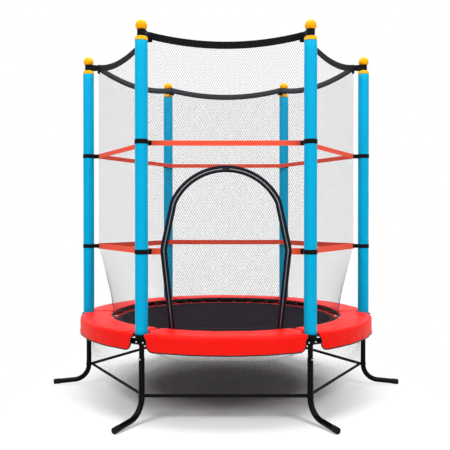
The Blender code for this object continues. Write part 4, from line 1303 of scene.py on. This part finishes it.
# A hem: a doubled strip of the net along a line of (across, level) points
def netHem(name, line, width):
    path = [netPoint(*point) for point in line]
    widths = [aheadAt(path, i).cross(Vector((0, 1, 0))).normalized() for i in range(len(path))]
    return ribbon(name, path, width, netShape["hem"], widths)


def makeNets():
    side, foot = netShape["side"], sizes["netFoot"] + netShape["footLift"]
    breaks = (sizes["lowerStrap"], netShape["seatLevel"])
    top = [(x, borderLevel(x) - 0.001) for x in steps(-side, side, 24)]
    made = []
    for name, doorways in (("net", []), ("netPanel_1", [doorLoop(netShape["doorGap"])])):
        net = netOver(name, [panelLoop()] + doorways, breaks)
        hems = [
            netHem("topHem", top, netShape["topHem"]),
            netHem("footHem", [(x, foot) for x in steps(-side, side, 16)], netShape["footHem"]),
        ]
        if doorways:
            hems.append(netHem("doorHem", doorArch(netShape["doorHemOut"], 2), netShape["doorHem"]))
        whole = joined(net, *hems)
        smoothAll(whole)
        made.append(whole)
    backs = repeated(made[0], panelTurns[1:], numbered("netPanel")[1:])
    for number, piece in enumerate([made[1]] + backs, 1):
        dress(piece, "netYarn", nodes=[f"net_panel_{number}"])


strapShape = {
    "endOut": 0.0006, "endSide": 0.0012, "fold": 0.004,
    "upper": {"level": sizes["upperStrap"], "width": 0.021},
    "lower": {"level": sizes["lowerStrap"], "width": 0.026},
    "thickness": 0.0016, "offset": 0.0018, "pull": 0.0008, "doorGap": 0.0012,
    "wrapped": 0.0262, "tie": 0.0185, "tieThickness": 0.0013,
    "patch": 0.0135, "patchThickness": 0.0014, "patchOut": 0.0017, "patchMore": 0.002,
    "rowLift": 0.0055, "rowOut": 0.0028, "rowFrom": 0.002, "rowShort": 0.003, "pitch": 0.0026,
}
# The two ways in which the net's panels leave the corner at angle 0
cornerWays = [Vector((cos(radians(120)), side * sin(radians(120)), 0)) for side in (1, -1)]


# Six corners at a level, the first one at the right of the front panel
def hexagon(radius, level):
    return [around(radius, front + panelHalf + panelTurns[k], level) for k in range(6)]


# Radius of a belt's corners, for a belt that lies at an offset from the net
def cornerRadius(offset):
    return sizes["netCorner"] + offset / cos(panelHalf)


# A loop of webbing round a pole at angle 0, with both ends at the net's corner
def tieLoop(wrapped, width, thickness, level, start):
    circle = sizes["poleCircle"]
    radius = wrapped + thickness / 2
    turn = math.acos(radius / (circle - start))
    end = start + strapShape["endOut"]
    path = [Vector((end, -strapShape["endSide"], level))]
    for angle in steps(pi + turn, 3 * pi - turn, 30):
        path.append(Vector((circle + radius * cos(angle), radius * sin(angle), level)))
    path.append(Vector((end, strapShape["endSide"], level)))
    return ribbon("tie", path, width, thickness)


# A patch folded round the net's corner, where a tie is sewn to a strap
def cornerPatch(level, width, reach, offset):
    corner = around(cornerRadius(offset), 0, level)
    left, right = cornerWays
    fold = strapShape["fold"]
    path = [corner + left * reach, corner + left * fold, corner]
    path += [corner + right * fold, corner + right * reach]
    return ribbon("patch", path, width, strapShape["patchThickness"])


def makeStraps():
    offset = strapShape["offset"]
    tapeEdge = doorShape["half"] + doorShape["tape"] + strapShape["doorGap"]
    for name in ("upper", "lower"):
        level, width = strapShape[name]["level"], strapShape[name]["width"]
        corners = hexagon(cornerRadius(offset), level)
        path = []
        for k, corner in enumerate(corners):
            path.append(corner)
            if name == "lower" and k == 5:
                continue
            # the strap is drawn in a hair between its ties
            for share in steps(0, 1, 8)[1:-1]:
                point = corner.lerp(corners[(k + 1) % 6], share)
                point.z -= strapShape["pull"] * sin(pi * share)
                path.append(point)
        if name == "lower":
            # it stops at the door on both sides
            path.insert(0, Vector((tapeEdge, corners[0].y, level)))
            path.append(Vector((-tapeEdge, corners[5].y, level)))
        belt = ribbon(f"{name}Strap", path, width, strapShape["thickness"], closed=name == "upper")
        dress(belt, "redWebbing", nodes=[f"{name}_strap"])
        tie = joined(
            tieLoop(
                strapShape["wrapped"], strapShape["tie"], strapShape["tieThickness"], level,
                corners[0].xy.length,
            ),
            cornerPatch(
                level, strapShape["tie"] + strapShape["patchMore"], strapShape["patch"],
                offset + strapShape["patchOut"],
            ),
        )
        smooth(tie, 50)
        dressSix(tie, f"{name}Tie", "blackWebbing")
        rows = []
        reach = strapShape["patch"] - strapShape["rowShort"]
        for lift in (-strapShape["rowLift"], strapShape["rowLift"]):
            corner = around(cornerRadius(offset + strapShape["rowOut"]), 0, level + lift)
            for way, turn in zip(cornerWays, (panelHalf, -panelHalf)):
                run = [corner + way * strapShape["rowFrom"], corner + way * reach]
                row = stitches("tieStitches", run, strapShape["pitch"], sizes["fineThread"], around(1, turn))
                rows.append(row)
        dressSix(joined(*rows), f"{name}TieStitches", "redThread")


borderShape = {
    "width": 0.030, "thickness": 0.0018, "offset": 0.0018, "neckWidth": 0.0270, "neckThickness": 0.0015,
    "neck": 0.0153, "neckDrop": 0.0015, "patch": 0.017, "patchWidth": 0.0405, "patchDrop": 0.0065,
    "patchOut": 0.0018, "rowLift": 0.0125, "rowOut": 0.0011, "pitch": 0.006,
}


def makeBorder():
    offset = borderShape["offset"]
    corners = hexagon(cornerRadius(offset), sizes["borderLevel"])

    def borderPoint(k, share):
        point = corners[k].lerp(corners[(k + 1) % 6], share)
        point.z = borderLevel((2 * share - 1) * sizes["netHalfWidth"])
        return point

    path = [borderPoint(k, share) for k in range(6) for share in steps(0, 1, 16)[:-1]]
    belt = ribbon("topBorder", path, borderShape["width"], borderShape["thickness"], closed=True)
    dress(belt, "blackWebbing", nodes=["top_border"])
    level = sizes["borderLevel"] - borderShape["neckDrop"]
    loop = joined(
        tieLoop(
            borderShape["neck"], borderShape["neckWidth"], borderShape["neckThickness"], level,
            corners[0].xy.length,
        ),
        cornerPatch(
            level - borderShape["patchDrop"], borderShape["patchWidth"], borderShape["patch"],
            offset + borderShape["patchOut"],
        ),
    )
    smooth(loop, 50)
    dressSix(loop, "neckLoop", "blackWebbing")
    # stitches along both edges of the border, panel by panel
    for number, lift in enumerate((-borderShape["rowLift"], borderShape["rowLift"]), 1):
        out = forward * borderShape["rowOut"] + up * lift
        run = [borderPoint(5, share) + out for share in steps(0.03, 0.97, 40)]
        row = stitches("borderStitches", run, borderShape["pitch"], sizes["fineThread"], forward)
        dressSix(row, f"borderStitches_{number}", "blackThread", turns=panelTurns)


# One half of the zip along the arch: a convex tape with its row of coil beside the gap
def zipHalf(name, outward, body):
    base, rise = doorShape["stand"], doorShape["thickness"]
    gap, tape, lip = doorShape["gap"] / 2, doorShape["tape"], doorShape["lip"]
    section = [
        (gap + lip, base), (gap + lip, base + rise * 0.6), (gap + doorShape["ridgeStart"], base + rise),
        (gap + doorShape["ridgeEnd"], base + rise), (gap + tape - doorShape["slope"], base + rise * 0.8),
        (gap + tape, base + rise * 0.35), (gap + tape, base), (gap + tape / 2, base),
    ]
    lines = [doorArch(outward * across) for across, _ in section]
    points, along, reach = [], [], 0.0
    for i in range(len(lines[0])):
        if i > 0:
            reach += (netPoint(*lines[0][i]) - netPoint(*lines[0][i - 1])).length
        for line, (across, height) in zip(lines, section):
            points.append(netPoint(*line[i]) + forward * height)
            along.append((reach, across))
    half = drawn(f"zipTape_{name}", points, ringFaces(len(lines[0]), len(section)), along)
    outwards(half)
    smooth(half, 55)
    dress(half, "zipTape", body, ["door_tape"] if name == "frame" else [])
    out = forward * (base + rise * 0.75)
    path = [netPoint(*point) + out for point in doorArch(outward * (gap + doorShape["coilOut"]))]
    coil = coilPiece(f"zipCoil_{name}", path, doorShape["coil"], doorShape["tooth"])
    dress(coil, "zipCoil", body)
    return half, coil


# The zip's coil: a cord whose rings swell and shrink with every turn of the nylon
def coilPiece(name, path, radius, pitch):
    dense = [path[0]]
    for a, b in zip(path, path[1:]):
        count = max(1, round((b - a).length / (pitch / 2)))
        dense += [a.lerp(b, k / count) for k in range(1, count + 1)]
    points = []
    for i, point in enumerate(dense):
        side = aheadAt(dense, i).cross(forward).normalized()
        size = radius * (1.0 if i % 2 else doorShape["coilPinch"])
        for k in range(6):
            turn = tau * k / 6
            points.append(point + side * cos(turn) * size + forward * sin(turn) * size)
    piece = drawn(name, points, ringFaces(len(dense), 6))
    outwards(piece)
    smooth(piece, 25)
    return piece


sliderShape = {
    "length": 0.013, "width": 0.0106, "low": 0.0042, "thickness": 0.0034, "fromTop": 0.0003,
    "pinch": 0.22, "bow": 0.0008, "edge": 0.0005, "bridge": 0.0030, "bridgeWire": 0.0008, "bridgeOut": 0.0016,
    "tab": 0.0092, "tabWidth": 0.0062, "tabThickness": 0.0013, "tabOut": 0.0034, "tabDrop": 0.0028,
    "tabFlare": 1.25, "tabRim": 0.0012, "tabDish": 0.0003, "tabEdge": 0.0004,
}


def makeSliders():
    length, width, thickness = sliderShape["length"], sliderShape["width"], sliderShape["thickness"]
    tall, crown = sliderShape["tab"], doorShape["crown"]
    for side, word in ((-1, "left"), (1, "right")):
        # body: a block pinched at its tail, over both rows of coil
        turn = (sliderShape["fromTop"] + length / 2) / crown
        middle = Vector((
            side * crown * sin(turn), -sizes["netPlane"] - sliderShape["low"] - thickness / 2,
            doorShape["top"] - crown + crown * cos(turn),
        ))
        selectOnly()
        bpy.ops.mesh.primitive_cube_add(
            size=1, location=middle, rotation=(0, side * turn, 0), scale=(length, thickness, width)
        )
        body = settle("slider")
        openEdit(body)
        bpy.ops.mesh.subdivide(number_cuts=2)
        closeEdit()
        for point in body.data.vertices:
            away = point.co - middle
            share = abs(away.x) / (length / 2)
            if away.x * side > 0:
                point.co.z = middle.z + away.z * (1 - sliderShape["pinch"] * share)
            if away.y < 0:
                point.co.y += sliderShape["bow"] * share ** 2
        withModifier(body, "BEVEL", width=sliderShape["edge"], segments=2)
        # bridge on top, and the pull tab that hangs from it
        bpy.ops.mesh.primitive_torus_add(
            major_segments=24, minor_segments=8, major_radius=sliderShape["bridge"],
            minor_radius=sliderShape["bridgeWire"], rotation=(0, pi / 2, 0),
            location=middle + forward * sliderShape["bridgeOut"],
        )
        bridge = settle("bridge")
        hung = middle + forward * sliderShape["tabOut"] - up * (sliderShape["tabDrop"] + tall / 2)
        bpy.ops.mesh.primitive_cube_add(
            size=1, location=hung, scale=(sliderShape["tabWidth"], sliderShape["tabThickness"], tall)
        )
        tab = settle("tab")
        pickFaces(tab, lambda centre, normal: normal.z < -0.9)
        bpy.ops.transform.resize(value=(sliderShape["tabFlare"], 1, 1), center_override=hung)
        closeEdit()
        pickFaces(tab, lambda centre, normal: normal.y < -0.9)
        bpy.ops.mesh.inset(thickness=sliderShape["tabRim"])
        bpy.ops.transform.translate(value=(0, sliderShape["tabDish"], 0))
        closeEdit()
        withModifier(tab, "BEVEL", width=sliderShape["tabEdge"], segments=2)
        slider = joined(body, bridge, tab)
        slider.name = f"zipSlider_{word}"
        smooth(slider, 40)
        dress(slider, "sliderPaint", f"slider_{word}_body", [f"zip_slider_{word}"])


def makeDoor():
    zipHalf("frame", 1, "frame")
    tape, coil = zipHalf("door", -1, "door_body")
    reach, sill = doorShape["half"] - doorShape["sillIn"], doorShape["foot"] + doorShape["sillLift"]
    flap = joined(
        netOver("doorNet", [doorLoop(-doorShape["netGap"])], (sizes["lowerStrap"],)),
        netHem("doorHem", doorArch(-doorShape["hemIn"], 2), doorShape["hem"]),
        netHem("sillHem", [(x, sill) for x in steps(-reach, reach, 16)], doorShape["sillHem"]),
    )
    smoothAll(flap)
    dress(flap, "netYarn", "door_body", ["door_flap"])
    makeSliders()


lowerShape = {
    "top": 0.320, "belt": 0.1015, "corner": 0.6605, "topRadius": 0.6592,
    "cellWide": 0.0098, "cellTall": 0.0162, "strand": 0.00021, "ridge": 0.00010, "stride": 0.06,
    "hem": 0.0135, "hemThickness": 0.0008, "beltWidth": 0.0145, "beltThickness": 0.0022,
    "legLoop": 0.0129, "loopWidth": 0.0135, "loopThickness": 0.0014,
}


# A point of the lower net's front side, by its share of the half width and of the height
def lowerPoint(across, share):
    half = lowerShape["corner"] * sin(panelHalf)
    low = Vector((across * half, -lowerShape["corner"] * cos(panelHalf), lowerShape["belt"]))
    high = around(lowerShape["topRadius"], front + across * panelHalf, lowerShape["top"])
    return low.lerp(high, share)


def makeLowerNet():
    circle, belt = sizes["poleCircle"], lowerShape["belt"]
    half, tall = circle * sin(panelHalf), lowerShape["top"] - belt
    loop = [(-half, 0.0), (half, 0.0), (half, tall), (-half, tall)]
    paths = strandPaths(
        [loop], lambda x, z: lowerPoint(x / half, z / tall), (), lambda level: lowerShape["stride"],
        lowerShape,
    )
    side = strandPiece("lowerSide", paths, [], lowerShape)
    # the net's sleeve under the ring
    sleeve = [lowerPoint(across, 1 - lowerShape["hem"] / 2 / tall) for across in steps(-1, 1, 12)]
    side = joined(side, ribbon("lowerHem", sleeve, lowerShape["hem"], lowerShape["hemThickness"]))
    whole = joined(*repeated(side, panelTurns, numbered("lowerSide")))
    whole.name = "lowerNet"
    smoothAll(whole)
    dress(whole, "lowerYarn", nodes=["lower_net"])
    corners = hexagon(lowerShape["corner"], belt)
    path = [
        corner.lerp(corners[(k + 1) % 6], share)
        for k, corner in enumerate(corners) for share in steps(0, 1, 6)[:-1]
    ]
    hemBelt = ribbon("lowerBelt", path, lowerShape["beltWidth"], lowerShape["beltThickness"], closed=True)
    dress(hemBelt, "blackWebbing")
    path = [around(circle, 0, belt) + around(lowerShape["legLoop"], tau * k / 28) for k in range(28)]
    legLoop = ribbon("legLoop", path, lowerShape["loopWidth"], lowerShape["loopThickness"], closed=True)
    dressSix(legLoop, "legLoop", "blackWebbing")


makeNets()
makeStraps()
makeBorder()
makeDoor()
makeLowerNet()
print("nets, straps, border and door ready")


lightPlan = {
    "world": 0.24,
    "aim": (0, 0, 0.7),
    "lamps": {
        "top": {"place": (0.0, -0.1, 4.2), "size": 2.4, "power": 112.0},
        "frontLeft": {"place": (-2.3, -2.9, 3.5), "size": 1.8, "power": 92.0},
        "frontRight": {"place": (2.3, -2.9, 3.5), "size": 1.8, "power": 92.0},
        "backLeft": {"place": (-2.4, 2.7, 3.5), "size": 1.8, "power": 40.0},
        "backRight": {"place": (2.4, 2.7, 3.5), "size": 1.8, "power": 40.0},
    },
}
# The floor's white glow fades in from fadeFrom to fadeTo, measured in an oval: painted light over the outer
# part of the object's shadow
floorPlan = {
    "size": 60, "level": -0.0005, "oval": (1.5, 0.72, 1.0), "fadeFrom": 0.45, "fadeTo": 1.5, "paper": 0.70,
}


# Camera rays, and those off metal or through glass, see one shader. All others see the other
def seenAs(owner, shown, other):
    path = addNode(owner, "LightPath")
    look = path.outputs["Is Camera Ray"]
    for ray in ("Is Glossy Ray", "Is Transmission Ray"):
        look = addNode(owner, "Math", 0, {"operation": "MAXIMUM"}, {0: look, 1: path.outputs[ray]})
    return addNode(owner, "MixShader", 0, None, {0: look, 1: other, 2: shown})


# White to the camera and in reflections, and a plain pale paper to all other light
def makeFloor():
    selectOnly()
    bpy.ops.mesh.primitive_grid_add(
        x_subdivisions=8, y_subdivisions=8, size=floorPlan["size"], location=(0, 0, floorPlan["level"])
    )
    floor = settle("studioFloor")
    paper = bpy.data.materials.new("studioPaper")
    paper.use_nodes = True
    paper.node_tree.nodes.clear()
    spot = addNode(paper, "TexCoord", "Object")
    grain = addNode(paper, "TexNoise", "Fac", {"Scale": 900.0, "Detail": 2.0}, {"Vector": spot})
    bump = addNode(paper, "Bump", "Normal", {"Strength": 0.05, "Distance": 0.0002}, {"Height": grain})
    seen = addNode(paper, "BsdfDiffuse", 0, {"Color": (1, 1, 1, 1)}, {"Normal": bump})
    # the paper fades to a plain white glow away from the object, in an oval wider across than deep: painted
    # light that lightens the outer part of the object's shadow
    oval = addNode(paper, "Mapping", "Vector", {"Scale": floorPlan["oval"]}, {"Vector": spot})
    away = addNode(paper, "VectorMath", "Value", {"operation": "LENGTH"}, {0: oval})
    reach = {"From Min": floorPlan["fadeFrom"], "From Max": floorPlan["fadeTo"]}
    fade = addNode(
        paper, "MapRange", "Result", {"interpolation_type": "SMOOTHSTEP", **reach}, {"Value": away}
    )
    white = addNode(paper, "Emission", 0, {"Color": (1, 1, 1, 1), "Strength": 1.0})
    shown = addNode(paper, "MixShader", 0, None, {0: fade, 1: seen, 2: white})
    grey = floorPlan["paper"]
    plain = addNode(paper, "BsdfDiffuse", 0, {"Color": (grey, grey, grey, 1)})
    addNode(paper, "OutputMaterial", None, None, {"Surface": seenAs(paper, shown, plain)})
    floor.data.materials.append(paper)


def makeLight():
    for name, plan in lightPlan["lamps"].items():
        lamp = bpy.data.lights.new(name, "AREA")
        lamp.shape = "SQUARE"
        lamp.size = plan["size"]
        lamp.energy = plan["power"]
        holder = bpy.data.objects.new(name, lamp)
        bpy.context.collection.objects.link(holder)
        holder.location = plan["place"]
        aim = Vector(lightPlan["aim"]) - Vector(plan["place"])
        holder.rotation_euler = aim.to_track_quat("-Z", "Y").to_euler()
    world = bpy.data.worlds.new("studio")
    bpy.context.scene.world = world
    world.use_nodes = True
    world.node_tree.nodes.clear()
    shown = addNode(world, "Background", 0, {"Color": (1, 1, 1, 1), "Strength": 1.0})
    soft = addNode(world, "Background", 0, {"Color": (1, 1, 1, 1), "Strength": lightPlan["world"]})
    addNode(world, "OutputWorld", None, None, {"Surface": seenAs(world, shown, soft)})


cameraPlan = {
    "place": (0.0, -3.104, 0.807), "lens": 50.56, "sensor": 36.0, "downBy": radians(0.453),
    "turn": radians(0.09),
}


def makeCamera():
    eye = bpy.data.cameras.new("photoCamera")
    eye.lens = cameraPlan["lens"]
    eye.sensor_width = cameraPlan["sensor"]
    eye.sensor_fit = "HORIZONTAL"
    holder = bpy.data.objects.new("photoCamera", eye)
    bpy.context.collection.objects.link(holder)
    holder.location = cameraPlan["place"]
    holder.rotation_euler = (pi / 2 - cameraPlan["downBy"], 0, cameraPlan["turn"])
    bpy.context.scene.camera = holder


makeFloor()
makeLight()
makeCamera()
bpy.context.scene.view_settings.view_transform = "Standard"
print("floor, light and camera ready")

selectOnly()
